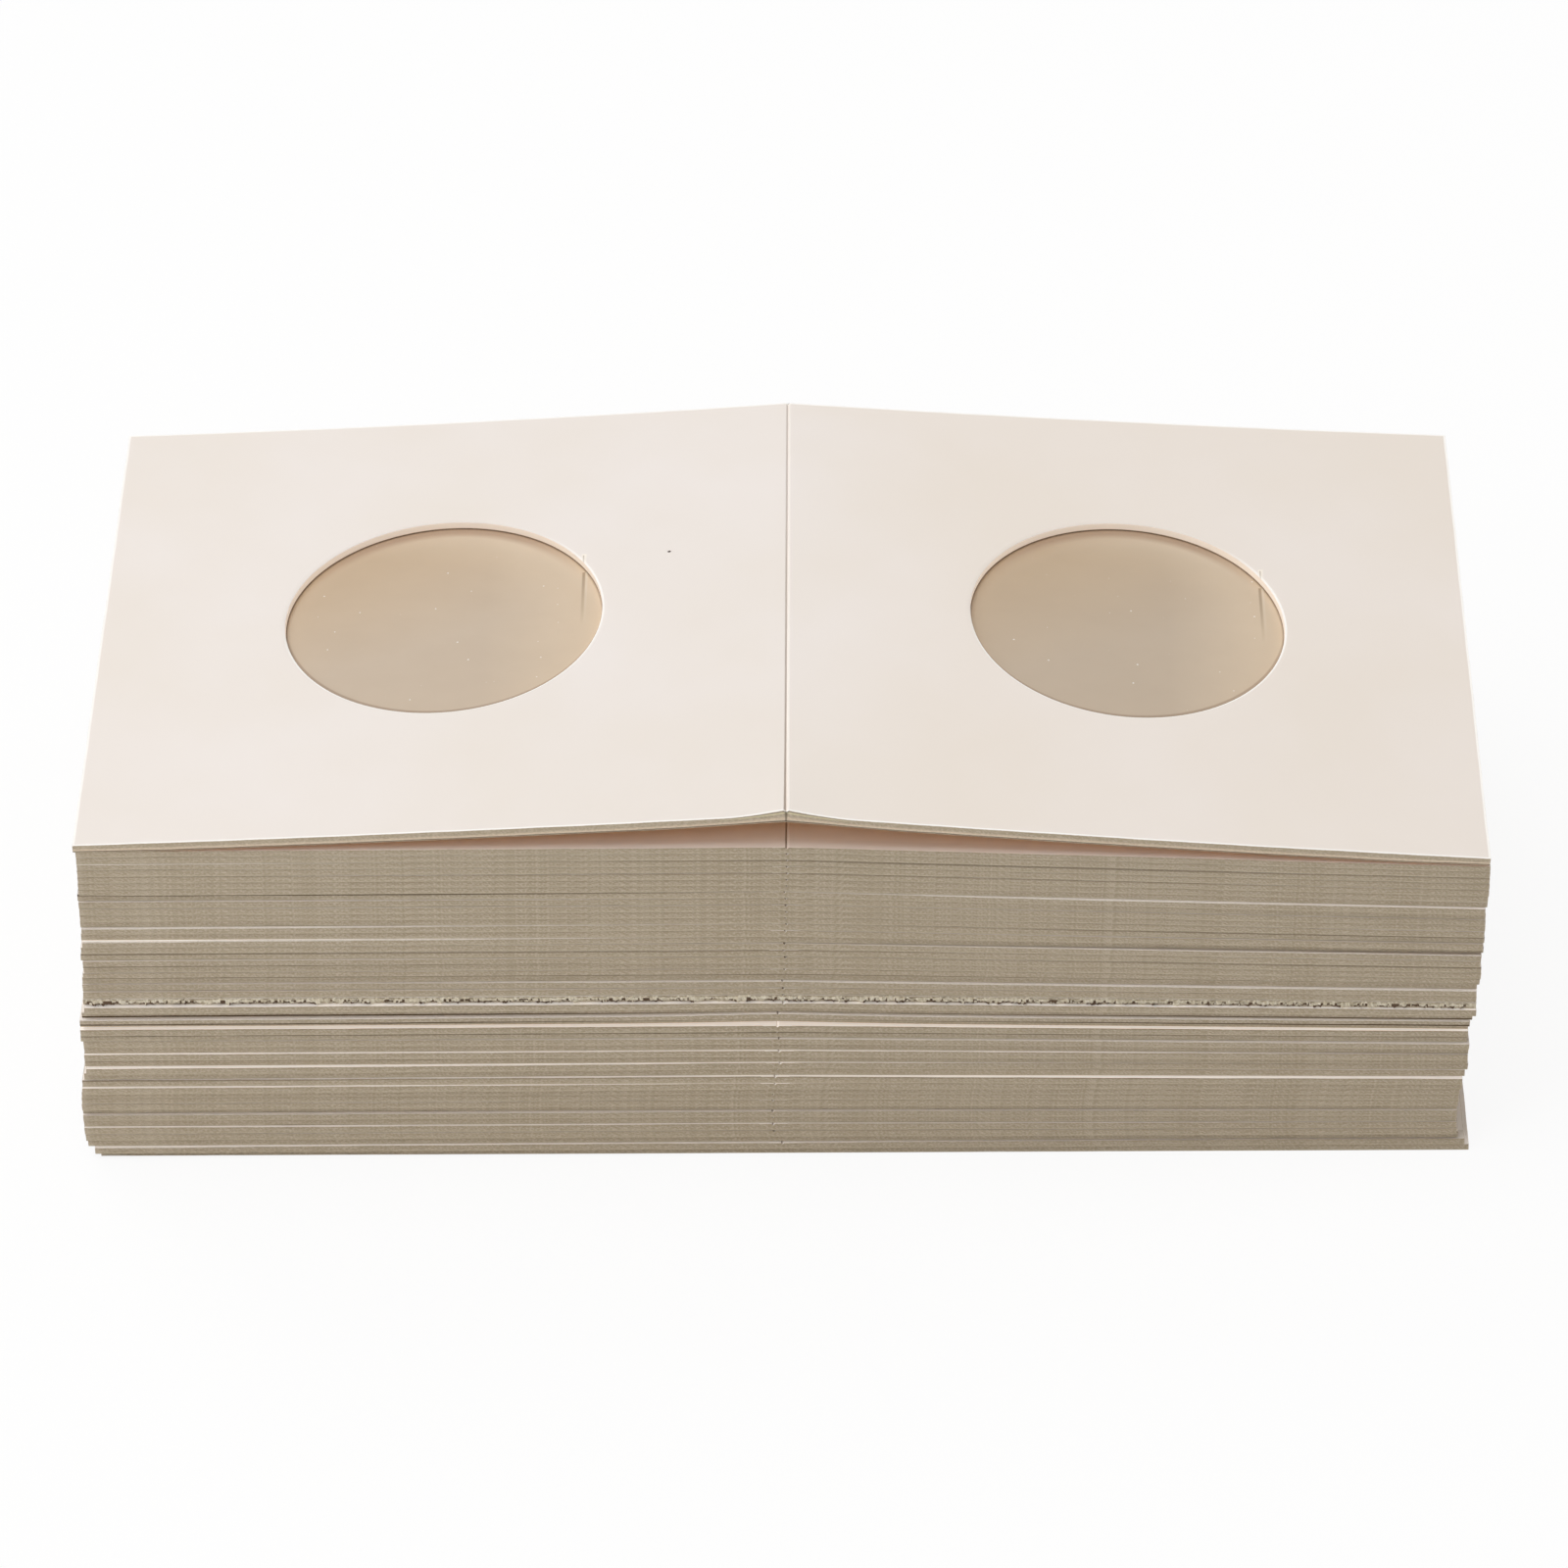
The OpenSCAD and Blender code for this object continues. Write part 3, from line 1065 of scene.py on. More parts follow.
@dataclass(frozen=True)
class BoardCut(SheetCut):
    """The board of an open flip as it is cut and scored, lying flat with its film side at zero."""

    window_r: float
    punched_back: float = 0.0
    score_w: float = 0.25 * MM
    score_d: float = 0.12 * MM
    side_points: int = 48
    rings: int = 3
    rows: int = 2
    lip: float = 0.03 * MM
    lip_steps: int = 2
    bend_half: float = 0.3 * MM
    shoulder: float = 0.0
    shoulder_rings: int = 3
    shoulder_drop: float = 0.06 * MM

    def mesh(self, name: str) -> Mesh:
        """Builds the board.

        Args:
            name: The mesh's name.

        Returns:
            A closed mesh with white faces and pulp edges.
        """
        bm = bmesh.new()
        for side in Side:
            self._leaf(bm, side)
        bmesh.ops.remove_doubles(bm, verts=bm.verts, dist=self.lip / 2)
        for offset in (self.score_w / 2, self.bend_half):
            for side in Side:
                cut_column(bm, side.value * offset)
        self._thicken(bm)
        self._round_lips(bm)
        self._press_score(bm)
        self._press_shoulders(bm)
        self.dress_flat(bm, self.window_r, self.punched_back, bare_lips=not self.shoulder)
        return finish_mesh(bm, name)

    def _leaf(self, bm: BMesh, side: Side) -> None:
        """Adds one leaf with its window, as rings of faces between the window and the leaf's outline.

        Args:
            bm: The sheet.
            side: Which leaf it is.
        """
        leaf = Matrix.Translation((side.value * self.length / 2, 0, 0))
        middle = leaf @ Matrix.Translation((0, self.punched_back, 0))
        others = set(bm.edges)
        half = Matrix.Diagonal((self.length / 2, self.width / 2, 1, 1))
        blank = bmesh.ops.create_grid(bm, x_segments=1, y_segments=1, size=1, matrix=leaf @ half)
        bmesh.ops.delete(bm, geom=list(blank["verts"][0].link_faces), context="FACES_ONLY")
        outline = [edge for edge in bm.edges if edge not in others]
        bmesh.ops.subdivide_edges(bm, edges=outline, cuts=self.side_points - 1)
        outer = [edge for edge in bm.edges if edge not in others]
        others = set(bm.edges)
        points = 4 * self.side_points
        radius = self.window_r + self.shoulder
        bmesh.ops.create_circle(bm, cap_ends=False, segments=points, radius=radius, matrix=middle)
        circle = [edge for edge in bm.edges if edge not in others]
        bridge = bmesh.ops.bridge_loops(bm, edges=outer + circle)
        spokes = list(set(bridge["edges"]) - set(outer) - set(circle))
        bmesh.ops.subdivide_edges(bm, edges=spokes, cuts=self.rings - 1, use_grid_fill=True)
        if self.shoulder:
            self._grow_in(bm, circle, middle)

    def _grow_in(self, bm: BMesh, circle: list[BMEdge], middle: Matrix) -> None:
        """Grows the sheet inward by rings, from the shoulder's circle to the window's.

        Args:
            bm: The sheet.
            circle: The edges of the shoulder's circle.
            middle: Where the circle is.
        """
        radius = self.window_r + self.shoulder
        for _ in range(self.shoulder_rings):
            smaller = radius - self.shoulder / self.shoulder_rings
            grown = bmesh.ops.extrude_edge_only(bm, edges=circle)
            verts = {item for item in grown["geom"] if isinstance(item, BMVert)}
            ratio = smaller / radius
            bmesh.ops.scale(bm, vec=(ratio, ratio, 1), space=middle.inverted(), verts=list(verts))
            edges = [item for item in grown["geom"] if isinstance(item, BMEdge)]
            circle = [edge for edge in edges if verts.issuperset(edge.verts)]
            radius = smaller

    def _thicken(self, bm: BMesh) -> None:
        """Gives the sheet its thickness, with rows of faces up its edges.

        Args:
            bm: The sheet.
        """
        grown = bmesh.ops.extrude_face_region(bm, geom=bm.faces[:], use_keep_orig=True)
        top = [item for item in grown["geom"] if isinstance(item, BMVert)]
        bmesh.ops.translate(bm, vec=(0, 0, self.thickness), verts=top)
        half = self.thickness / 2
        walls = [edge for edge in bm.edges if abs(edge.verts[0].co.z - edge.verts[1].co.z) > half]
        bmesh.ops.subdivide_edges(bm, edges=walls, cuts=self.rows - 1, use_grid_fill=True)

    def _round_lips(self, bm: BMesh) -> None:
        """Rounds the edges of the outer face, where the cutting die pressed them.

        Args:
            bm: The thick sheet.
        """
        bm.normal_update()
        bmesh.ops.recalc_face_normals(bm, faces=bm.faces)
        level = self.thickness - TINY
        lips = []
        for edge in bm.edges:
            high = all(vert.co.z > level for vert in edge.verts)
            if high and any(abs(face.normal.z) < 0.5 for face in edge.link_faces):
                lips.append(edge)
        bmesh.ops.bevel(
            bm, geom=lips, offset=self.lip, offset_type="OFFSET", segments=self.lip_steps, profile=0.5,
            affect="EDGES", material=-1, clamp_overlap=True,
        )

    def _press_score(self, bm: BMesh) -> None:
        """Presses the crease into the outer face.

        Args:
            bm: The thick sheet.
        """
        level = self.thickness - 2 * self.lip
        for vert in bm.verts:
            if abs(vert.co.x) < TINY and vert.co.z > level:
                vert.co.z -= self.score_d

    def _press_shoulders(self, bm: BMesh) -> None:
        """Presses the outer face down round each window, as the punch does.

        Args:
            bm: The thick sheet.
        """
        if not self.shoulder:
            return
        for vert in bm.verts:
            hub = Vector((math.copysign(self.length / 2, vert.co.x), self.punched_back))
            near = 1 - ((vert.co.xy - hub).length - self.window_r) / self.shoulder
            if 0 < near and vert.co.z > self.thickness / 2:
                vert.co.z -= self.shoulder_drop * min(near, 1) ** 2


@dataclass(frozen=True)
class FilmCut(SheetCut):
    """The film of an open flip as it is cut, lying flat with its upper side at zero."""

    columns: int = 2
    rows: int = 1
    bend_half: float = 0.3 * MM

    def mesh(self, name: str) -> Mesh:
        """Builds the film.

        Args:
            name: The mesh's name.

        Returns:
            A closed mesh with clear faces and dull edges.
        """
        bm = bmesh.new()
        half = Matrix.Diagonal((self.length, self.width / 2, 1, 1))
        bmesh.ops.create_grid(bm, x_segments=self.columns, y_segments=self.rows, size=1, matrix=half)
        for side in Side:
            cut_column(bm, side.value * self.bend_half)
        grown = bmesh.ops.extrude_face_region(bm, geom=bm.faces[:], use_keep_orig=True)
        low = [item for item in grown["geom"] if isinstance(item, BMVert)]
        bmesh.ops.translate(bm, vec=(0, 0, -self.thickness), verts=low)
        bmesh.ops.recalc_face_normals(bm, faces=bm.faces)
        self.dress_flat(bm)
        return finish_mesh(bm, name)


# The flips


@dataclass(frozen=True)
class Stock:
    """The finishes that the flips are made in."""

    coat: Material
    edge: Material
    back: Material
    film: Material
    torn: Material

    @classmethod
    def make(cls) -> "Stock":
        """Makes the finishes that every flip shares.

        Returns:
            The finishes.
        """
        # The pack's coat: its painted glow colour lights the strips in front of the flips above, and its crease
        # gets painted shade and highlight.
        coat = ClayCoat("clay_coat", painted_glow_colour="E8E3DA", strip_mm=1.0, crease_cover=(0.8, 0.8)).material()
        edge = PulpEdge("pulp_edge", flecks=((13.2, 15.55), (25.9, 35.35), (39.6, 15.3))).material()
        # Painted shade: the boards' backs are brown, which stands in for the warm shade between the boards.
        back = ClayCoat("warm_shade_back", colour="CDAC8A", clouds="C4A27F", roughness=0.8, cloud_mm=9.0).material()
        film = ClearFilm("clear_film").material()
        torn = PulpEdge("torn_pulp", pulp="E2D8C2", light_ply="F6EEDC", dark_ply="BDB096", plies=2.0).material()
        return cls(coat, edge, back, film, torn)

    @property
    def board(self) -> tuple[Material, ...]:
        """The materials of a board, in the order of its slots."""
        return self.coat, self.edge, self.back, self.coat

    @property
    def sheet(self) -> tuple[Material, ...]:
        """The materials of a film, in the order of its slots."""
        return self.film, self.edge, self.film


@dataclass(frozen=True)
class CutEdge:
    """How far a board's cut edges stray from straight and upright, as loose blades leave them."""

    wander: float = 0.014 * MM
    lean: float = 0.012 * MM
    waves: tuple[float, ...] = (61 * MM, 23 * MM, 9.5 * MM, 4.1 * MM)

    def stray(self, run: np.ndarray, height_share: np.ndarray, draw: np.random.Generator) -> np.ndarray:
        """Works out how far one edge stands out.

        Args:
            run: Places along the edge.
            height_share: How high up the edge each place is, from 0 to 1.
            draw: Where chance comes from.

        Returns:
            The outward shift of each place.
        """
        starts = draw.uniform(0, math.tau, len(self.waves))
        lean = draw.uniform(-self.lean, self.lean)
        ripple = sum(np.sin(math.tau * run / wave + start) for wave, start in zip(self.waves, starts))
        return self.wander * ripple / len(self.waves) * 2 + lean * (height_share - 0.5) * 2

    def apply(self, flat: np.ndarray, cut: SheetCut, margin: float, seed: int) -> np.ndarray:
        """Shifts the points of a flat board's four edges.

        Args:
            flat: The board's points.
            cut: The board's sizes.
            margin: How far in from an edge a point still moves with it.
            seed: The board's own number.

        Returns:
            The shifted points.
        """
        draw = np.random.default_rng(seed)
        moved = flat.copy()
        share = flat[:, 2] / cut.thickness
        for axis, reach in ((1, cut.width / 2), (0, cut.length)):
            for sign in (-1, 1):
                on_edge = flat[:, axis] * sign > reach - margin
                shift = self.stray(flat[on_edge, 1 - axis], share[on_edge], draw)
                moved[on_edge, axis] += sign * shift
        return moved


@dataclass(frozen=True)
class Settling:
    """How the loose pile has settled away from flat leaves.

    Its back edge has sunk a little at the left end and stands higher at the right end, the more so the higher up
    in the pile. A few flips arch over the crease.
    """

    pile_top: float
    left_back: float = -0.25 * MM
    right_back: float = 1.1 * MM
    arch: float = 0.17 * MM
    arch_half: float = 8.0 * MM
    arched: tuple[int, int] = (22, 25)

    def twist(self, flat: np.ndarray, base: float, cut: SheetCut) -> np.ndarray:
        """Works out how much higher the points of a leaf lie for the twist.

        Args:
            flat: Points of the flat flip.
            base: How high the flip lies.
            cut: The flip's sizes.

        Returns:
            Each point's rise.
        """
        depth = np.clip(flat[:, 1] / cut.width + 0.5, 0, 1)
        reach = np.abs(flat[:, 0]) / cut.length
        back = np.where(flat[:, 0] < 0, self.left_back, self.right_back)
        return back * depth * reach * min(base / self.pile_top, 1)

    def arching(self, flat: np.ndarray, number: int, height_share: np.ndarray) -> np.ndarray:
        """Works out how much higher the points of a flip lie for the arch over the crease.

        Args:
            flat: Points of the flat flip.
            number: The flip's number.
            height_share: How high up the board each point is: the last arched board is pressed thinner, so that
                the flip over it still lies flat.

        Returns:
            Each point's rise.
        """
        first, last = self.arched
        if not first <= number <= last:
            return np.zeros(len(flat))
        left_over = np.clip(last + 1 - number - height_share, 0, 1)
        return self.arch * left_over / (1 + (flat[:, 0] / self.arch_half) ** 2) ** 2


@dataclass(frozen=True)
class SeamMarks:
    """Where painted light and painted shade lie on the seams between the flips: light lines and shade at an edge's
    head, shade at its foot, and the glow or shade of the strip in front.

    Each row is a flip with its strengths at five places, from its left end to its right end.
    """

    light: dict[int, tuple[float, ...]] = field(default_factory=lambda: {
        47: (0.6, 0, 0, 0, 0), 43: (0, 0, 0, 0, 0.8), 42: (0.2, 0.1, 0.2, 0.7, 0.1), 37: (0.7, 0.3, 0.1, 0, 0),
        35: (1, 0.8, 0.1, 0.2, 0.2), 34: (0, 0, 0.2, 0.5, 0.6), 28: (0.2, 0.4, 0.6, 0.7, 0.7),
        26: (0.6, 0.6, 0.3, 0.4, 0.3), 24: (1, 1, 0.2, 1, 0.3), 23: (0.8, 0.8, 0.7, 0.8, 0.7),
        22: (0.8, 0.9, 0.6, 0.8, 0.8), 19: (0, 0.1, 0.4, 0.4, 0.4), 16: (0.3, 0.4, 0.3, 0.3, 0.1),
        8: (0.2, 0.3, 0.2, 0.1, 0.2), 7: (0.4, 0.4, 0.35, 0.1, 0.2), 3: (0.2, 0.2, 0.1, 0, 0),
        2: (0.4, 0, 0.2, 0, 0),
    })
    dark: dict[int, tuple[float, ...]] = field(default_factory=lambda: {
        47: (0, 0, 0.4, 0.45, 0.2), 45: (0.1, 0.2, 0.25, 0.25, 0.08), 42: (1, 0.7, 0, 0, 0),
        37: (0, 0, 0, 0.3, 0.5), 35: (0, 0, 0.2, 0.5, 0.7), 33: (0.45, 0.35, 0.3, 0, 0),
        32: (0, 0, 0, 0.2, 0.4), 20: (0.8, 0.8, 0.65, 0.6, 0.4), 18: (0, 0, 0.4, 0.6, 0.8),
        16: (0.6, 0.6, 0.8, 0.6, 0.5), 13: (0.4, 0.2, 0.2, 0.2, 0),
    })
    foot: dict[int, tuple[float, ...]] = field(default_factory=lambda: {
        32: (0.6, 0.4, 0, 0, 0), 30: (0.5, 0.5, 0.6, 0.4, 0.3), 24: (1, 1, 0.2, 0.7, 0.9),
        23: (0.9, 0.9, 0.2, 0.8, 1),
    })
    glow: dict[int, tuple[float, ...]] = field(default_factory=lambda: {
        49: (-0.07, -0.07, -0.07, -0.07, -0.07), 41: (-0.1, -0.1, 0, 0, 0), 40: (-0.5, -0.5, -0.3, -0.1, 0),
        36: (0, 0, 0, -0.3, -0.6), 35: (0.35, 0.25, 0, 0, 0), 34: (0, -0.3, -0.5, -0.5, -0.5),
        32: (-0.3, -0.5, -0.6, -0.4, 0), 27: (-0.5, -0.5, -0.4, -0.4, -0.3), 25: (0.12, 0.2, 0.08, 0.2, 0.2),
        21: (0.42, 0.42, 0.44, 0.42, 0.42), 19: (0, -0.1, -0.1, -0.2, -0.2), 17: (0.2, 0.1, 0.15, 0.12, -0.1),
        15: (0.2, 0.2, 0.2, 0.1, 0), 13: (0, 0, 0.1, 0.2, 0.12), 12: (0.08, 0.12, 0.14, 0.14, 0),
        5: (0.08, 0, 0, -0.2, -0.4), 4: (-0.3, -0.6, -0.7, -0.7, -0.7), 2: (0.08, 0, 0, -0.1, -0.3),
        1: (0.15, 0.1, 0.1, 0, 0),
    })

    PLACES = (-0.9, -0.45, 0.0, 0.45, 0.9)

    def put(self, mesh: Mesh, number: int, reach: np.ndarray) -> None:
        """Gives a board's points their strengths.

        Args:
            mesh: The board.
            number: The flip's number.
            reach: How far to the right each point is, from -1 at the left end to 1 at the right end.
        """
        kinds = {LIGHT_MARK: self.light, DARK_MARK: self.dark, FOOT_MARK: self.foot, GLOW_MARK: self.glow}
        for name, rows in kinds.items():
            if number in rows:
                marks = mesh.attributes.new(name, "FLOAT", "POINT")
                marks.data.foreach_set("value", np.interp(reach, self.PLACES, rows[number]).astype(np.float32))


@dataclass
class Pack:
    """The open flips that lie under the top one."""

    stock: Stock
    edge: CutEdge = CutEdge()
    hairline: float = 0.014 * MM
    left_over: float = 0.15 * MM
    crease_shift: float = 0.2 * MM
    film_columns: int = 20
    film_rows: int = 4
    marks: SeamMarks = SeamMarks()
    flips: list[OpenFlip] = field(init=False)

    def __post_init__(self) -> None:
        """Reads where the flips lie and how thick their film is."""
        self.count = sum(name.startswith("flip_") for name in frame["nodes"])
        self.flips = [OpenFlip.in_pack(number) for number in range(1, self.count + 1)]
        self.film_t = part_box("flip_01_card")[0].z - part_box("bundle_1_films")[0].z
        dims = next(m["dims"] for m in frame["record"]["mounts"] if m["name"] == "left_window")
        first = self.flips[0]
        self.cut = BoardCut(first.length, first.left.width, first.left.thickness, dims["r_mm"] * MM)
        bodies = frame["record"]["behaviour"]["bodies"]
        self.body_of = {node: body for body, nodes in bodies.items() for node in nodes}
        self.settling = Settling(self.flips[-1].crease.z)

    def build(self) -> list[Object]:
        """Builds every board and each bundle's films.

        Returns:
            The pieces.
        """
        return self._boards() + self._films()

    def swell(self, number: int) -> tuple[float, float]:
        """How much thicker a board's left and right end look than they are, as pressed edges close the gaps.

        Args:
            number: The flip's number.

        Returns:
            What the left leaf and the right leaf's outer end gain.
        """
        if number == self.count:
            return 0.0, 0.0
        here, above = self.flips[number - 1], self.flips[number]
        solid = here.left.thickness + self.film_t + self.hairline
        left = (above.left.end - here.left.end).dot(here.left.up) - solid
        right = (above.right.end - here.right.end).dot(here.right.up) - solid
        return left, right

    def _boards(self) -> list[Object]:
        """Lays one board on each flip of the frame.

        Returns:
            The boards.
        """
        blank = self.cut.mesh("board_blank")
        flat = coordinates(blank)
        pieces = []
        for number, flip in enumerate(self.flips, 1):
            mesh = blank.copy()
            shaped = self.edge.apply(flat, self.cut, 2 * self.cut.lip, number)
            left, right = self.swell(number)
            reach = np.clip(shaped[:, 0] / self.cut.length, 0, 1)
            share = shaped[:, 2] / self.cut.thickness
            shaped[:, 2] *= 1 + (left + (right - left) * reach) / self.cut.thickness
            shaped[:, 2] += self.settling.arching(shaped, number, share)
            shaped[:, 2] += self.settling.twist(shaped, flip.crease.z, self.cut)
            set_coordinates(mesh, self._lay(flip, shaped))
            number_edges(mesh, number)
            self.marks.put(mesh, number, flat[:, 0] / self.cut.length)
            piece = new_piece(f"board_{number:02d}", mesh, *self.stock.board)
            node = f"flip_{number:02d}_card"
            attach(piece, self.body_of[node])
            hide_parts(node)
            pieces.append(piece)
        return pieces

    def _lay(self, flip: OpenFlip, flat: np.ndarray) -> np.ndarray:
        """Lays a flat flip in the pack, whose flips are a little too long at the left and creased off their middle.

        Args:
            flip: Where the flip lies.
            flat: Points of the flat flip.

        Returns:
            The points in the frame.
        """
        reach = np.clip(flat[:, 0] / self.cut.length, -1, 1)
        laid = flip.place(flat)
        laid[:, 0] += self.crease_shift * (1 - np.abs(reach)) - self.left_over * np.clip(-reach, 0, 1)
        return laid

    def _films(self) -> list[Object]:
        """Lays the films of each bundle under their boards.

        Returns:
            One piece for each bundle.
        """
        cut = FilmCut(self.cut.length, self.cut.width, self.film_t, self.film_columns, self.film_rows)
        blank = cut.mesh("film_blank")
        flat = coordinates(blank)
        pieces = []
        numbers = iter(range(1, self.count + 1))
        for body, nodes in frame["record"]["behaviour"]["bodies"].items():
            cards = [node for node in nodes if node.startswith("flip_")]
            if not cards:
                continue
            bm = bmesh.new()
            for _ in cards:
                sheet = blank.copy()
                number = next(numbers)
                flip = self.flips[number - 1]
                shaped = flat.copy()
                shaped[:, 2] += self.settling.arching(flat, number, np.zeros(len(flat)))
                shaped[:, 2] += self.settling.twist(flat, flip.crease.z, cut)
                set_coordinates(sheet, self._lay(flip, shaped))
                bm.from_mesh(sheet)
                bpy.data.meshes.remove(sheet)
            piece = new_piece(f"{body}_sheets", finish_mesh(bm, body), *self.stock.sheet)
            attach(piece, body)
            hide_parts(f"{body}_films")
            pieces.append(piece)
        return pieces


@dataclass
class TopFlip:
    """The flip that stands on the pack on its two outer ends, its board and film bending at the crease."""

    pack: Pack
    side_points: int = 80
    rings: int = 10
    rows: int = 6
    film_columns: int = 48
    film_rows: int = 24
    shoulder: float = 0.35 * MM
    bulk: float = 1.15
    left_sag: tuple[float, float] = (0.15 * MM, 0.28 * MM)
    right_sag: tuple[float, float] = (0.18 * MM, 0.2 * MM)
    left_end: tuple[float, float] = (-0.06 * MM, -0.12 * MM)
    right_end: tuple[float, float] = (0.1 * MM, -0.1 * MM)
    punched_back: float = PUNCHED_BACK_MM * MM
    left_over: tuple[float, float] = (0.37 * MM, 0.3 * MM)
    right_over: float = 0.1 * MM
    crease_shift: tuple[float, float] = (0.18 * MM, 0.04 * MM)
    hump: float = 0.5 * MM
    hump_half: float = 4.6 * MM
    hump_depth: float = 5.0 * MM
    hump_power: float = 1.6
    slump: float = 0.13 * MM
    slump_from: tuple[float, float] = (2.0 * MM, 8.0 * MM)
    slump_end_share: float = 0.12
    bend_half: float = 0.3 * MM
    speck_mm: tuple[float, float] = (-8.8, 6.9)
    nick_mm: tuple[float, float, float] = (10.2, 5.8, 6.8)

    LEFT_BODY = "top_left_leaf"
    RIGHT_BODY = "top_right_leaf"

    def __post_init__(self) -> None:
        """Reads where the two leaves are."""
        left = Leaf.read("top_left_card", Side.LEFT)
        right = Leaf.read("top_right_card", Side.RIGHT)
        self.flip = OpenFlip(left, right)

    def build(self) -> list[Object]:
        """Builds the board and the film.

        Returns:
            The pieces.
        """
        return [self._board(), self._film()]

    def drape(self, flat: np.ndarray) -> np.ndarray:
        """Lays the flat flip on the pack, sagging and twisted as the pile is.

        Args:
            flat: Points of the flat flip.

        Returns:
            The points in the frame.
        """
        cut = self.pack.cut
        reach = np.abs(flat[:, 0]) / cut.length
        depth = flat[:, 1] / cut.width + 0.5
        draped = flat.copy()
        left_over = self.left_over[0] + (self.left_over[1] - self.left_over[0]) * depth
        draped[:, 0] += reach * np.where(flat[:, 0] < 0, -left_over, self.right_over)
        draped[:, 2] += self.pack.settling.twist(flat, self.flip.crease.z, cut)
        draped[:, 2] += self._sag(flat, reach, depth) - self._slump(flat, reach)
        placed = self.flip.place(draped)
        shift = self.crease_shift[0] + (self.crease_shift[1] - self.crease_shift[0]) * depth
        placed[:, 0] += shift * (1 - reach)
        return placed

    def _sag(self, flat: np.ndarray, reach: np.ndarray, depth: np.ndarray) -> np.ndarray:
        """Works out how the leaves' front and back edges sag between their ends, and how their ends lie.

        Args:
            flat: Points of the flat flip.
            reach: How far each point is from the crease, from 0 to 1 at a leaf's end.
            depth: How far to the back it is, from 0 to 1.

        Returns:
            Each point's rise.
        """
        sag, end = (
            np.where((flat[:, 0] < 0)[:, None], left, right)
            for left, right in ((self.left_sag, self.right_sag), (self.left_end, self.right_end))
        )
        by_edge = np.where(depth < 0.5, sag[:, 0], sag[:, 1]) * (2 * depth - 1) ** 2
        lift = (end[:, 0] + (end[:, 1] - end[:, 0]) * depth) * reach
        return lift - by_edge * 4 * reach * (1 - reach)

    def _slump(self, flat: np.ndarray, reach: np.ndarray) -> np.ndarray:
        """Works out how much lower the lower plies and the film hang, except by the crease and at the ends.

        Args:
            flat: Points of the flat board, or of the film, none of which lies above zero.
            reach: How far each point is from the crease, from 0 to 1 at a leaf's end.

        Returns:
            Each point's drop.
        """
        low = 1.0
        if flat[:, 2].max() > 0:
            low = 1 - np.clip(flat[:, 2] / (self.bulk * self.pack.cut.thickness), 0, 1)
        by_end = np.clip((1 - reach) / self.slump_end_share, 0, 1)
        return self.slump * low * np.interp(np.abs(flat[:, 0]), self.slump_from, (0, 1)) * by_end

    def split_plies(self, flat: np.ndarray) -> np.ndarray:
        """Lets the upper plies lift off at the front end of the crease, where the board has split.

        Args:
            flat: Points of the flat board.

        Returns:
            The points, with the board thicker there.
        """
        cut = self.pack.cut
        share = flat[:, 2] / self.flip.left.thickness
        from_front = np.clip(flat[:, 1] + cut.width / 2, 0, None)
        near = np.clip(1 - np.abs(flat[:, 0]) / self.hump_half, 0, 1)
        split = flat.copy()
        split[:, 2] *= self.bulk
        split[:, 2] += self.hump * share * near ** self.hump_power * np.exp(-((from_front / self.hump_depth) ** 2))
        return split

    def _join_leaves(self, piece: Object) -> None:
        """Bakes a piece's place in the frame into its mesh.

        Args:
            piece: The board or the film.
        """
        step = Vector((self.bend_half, 0, 0))
        start, end = self.flip.crease - step, self.flip.crease + step
        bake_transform(piece)

    def _board(self) -> Object:
        """Builds the board across both leaves.

        Returns:
            The board.
        """
        base = self.pack.cut
        cut = BoardCut(
            base.length, base.width, self.flip.left.thickness, base.window_r, self.punched_back,
            side_points=self.side_points, rings=self.rings, rows=self.rows, shoulder=self.shoulder,
        )
        mesh = cut.mesh("top_board")
        shaped = CutEdge().apply(coordinates(mesh), cut, 2 * cut.lip, self.pack.count + 1)
        set_coordinates(mesh, self.drape(self.split_plies(shaped)))
        number_edges(mesh, self.pack.count + 1)
        piece = new_piece("top_board", mesh, *self._finishes())
        self._join_leaves(piece)
        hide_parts("top_left_card", "top_right_card")
        return piece

    def _finishes(self) -> tuple[Material, ...]:
        """Makes the materials of the top board, in the order of its slots.

        Returns:
            The materials.
        """
        # The top coat gets painted highlights on its lips, painted shade and highlight at the crease, and painted
        # shade on its right leaf.
        coat = ClayCoat(
            "clay_coat_top", speck_mm=self.speck_mm, nick_mm=self.nick_mm, lip="FFFBF6",
            crease_cover=(0.6, 0.9), right_painted_shade=0.17,
        )
        # Painted light: the top board's edge is a lighter copy of the pack's, as it gets more light; its foot and
        # crease get painted shade.
        edge = PulpEdge(
            "top_edge", pulp="C6B69F", light_ply="D8CAB6", dark_ply="B2A288", foot="F0DCC4", head="B8A992",
            foot_cover=0.8, head_cover=0.4, coat_cover=(0.5, 1.0), foot_shadow=0.8, foot_band=(0.3, 0.5),
            crease_shadow=0.6, lifted_ply="F4EAC4", low_shade=0.0,
        )
        # Painted shade and glow: the top board's back is brown and glows a little, so that the shade under the tent
        # turns warm.
        back = ClayCoat("shade_and_glow_back", colour="DEA86C", clouds="D49F64", roughness=0.8, cloud_mm=9.0, painted_glow=0.1)
        # Painted light: the window's wall is a lighter copy of the coat, with a painted glow.
        wall = ClayCoat("window_wall", colour="F3E6DA", painted_glow=0.22, painted_glow_colour="FFE9D2")
        return tuple(finish.material() for finish in (coat, edge, back, wall))

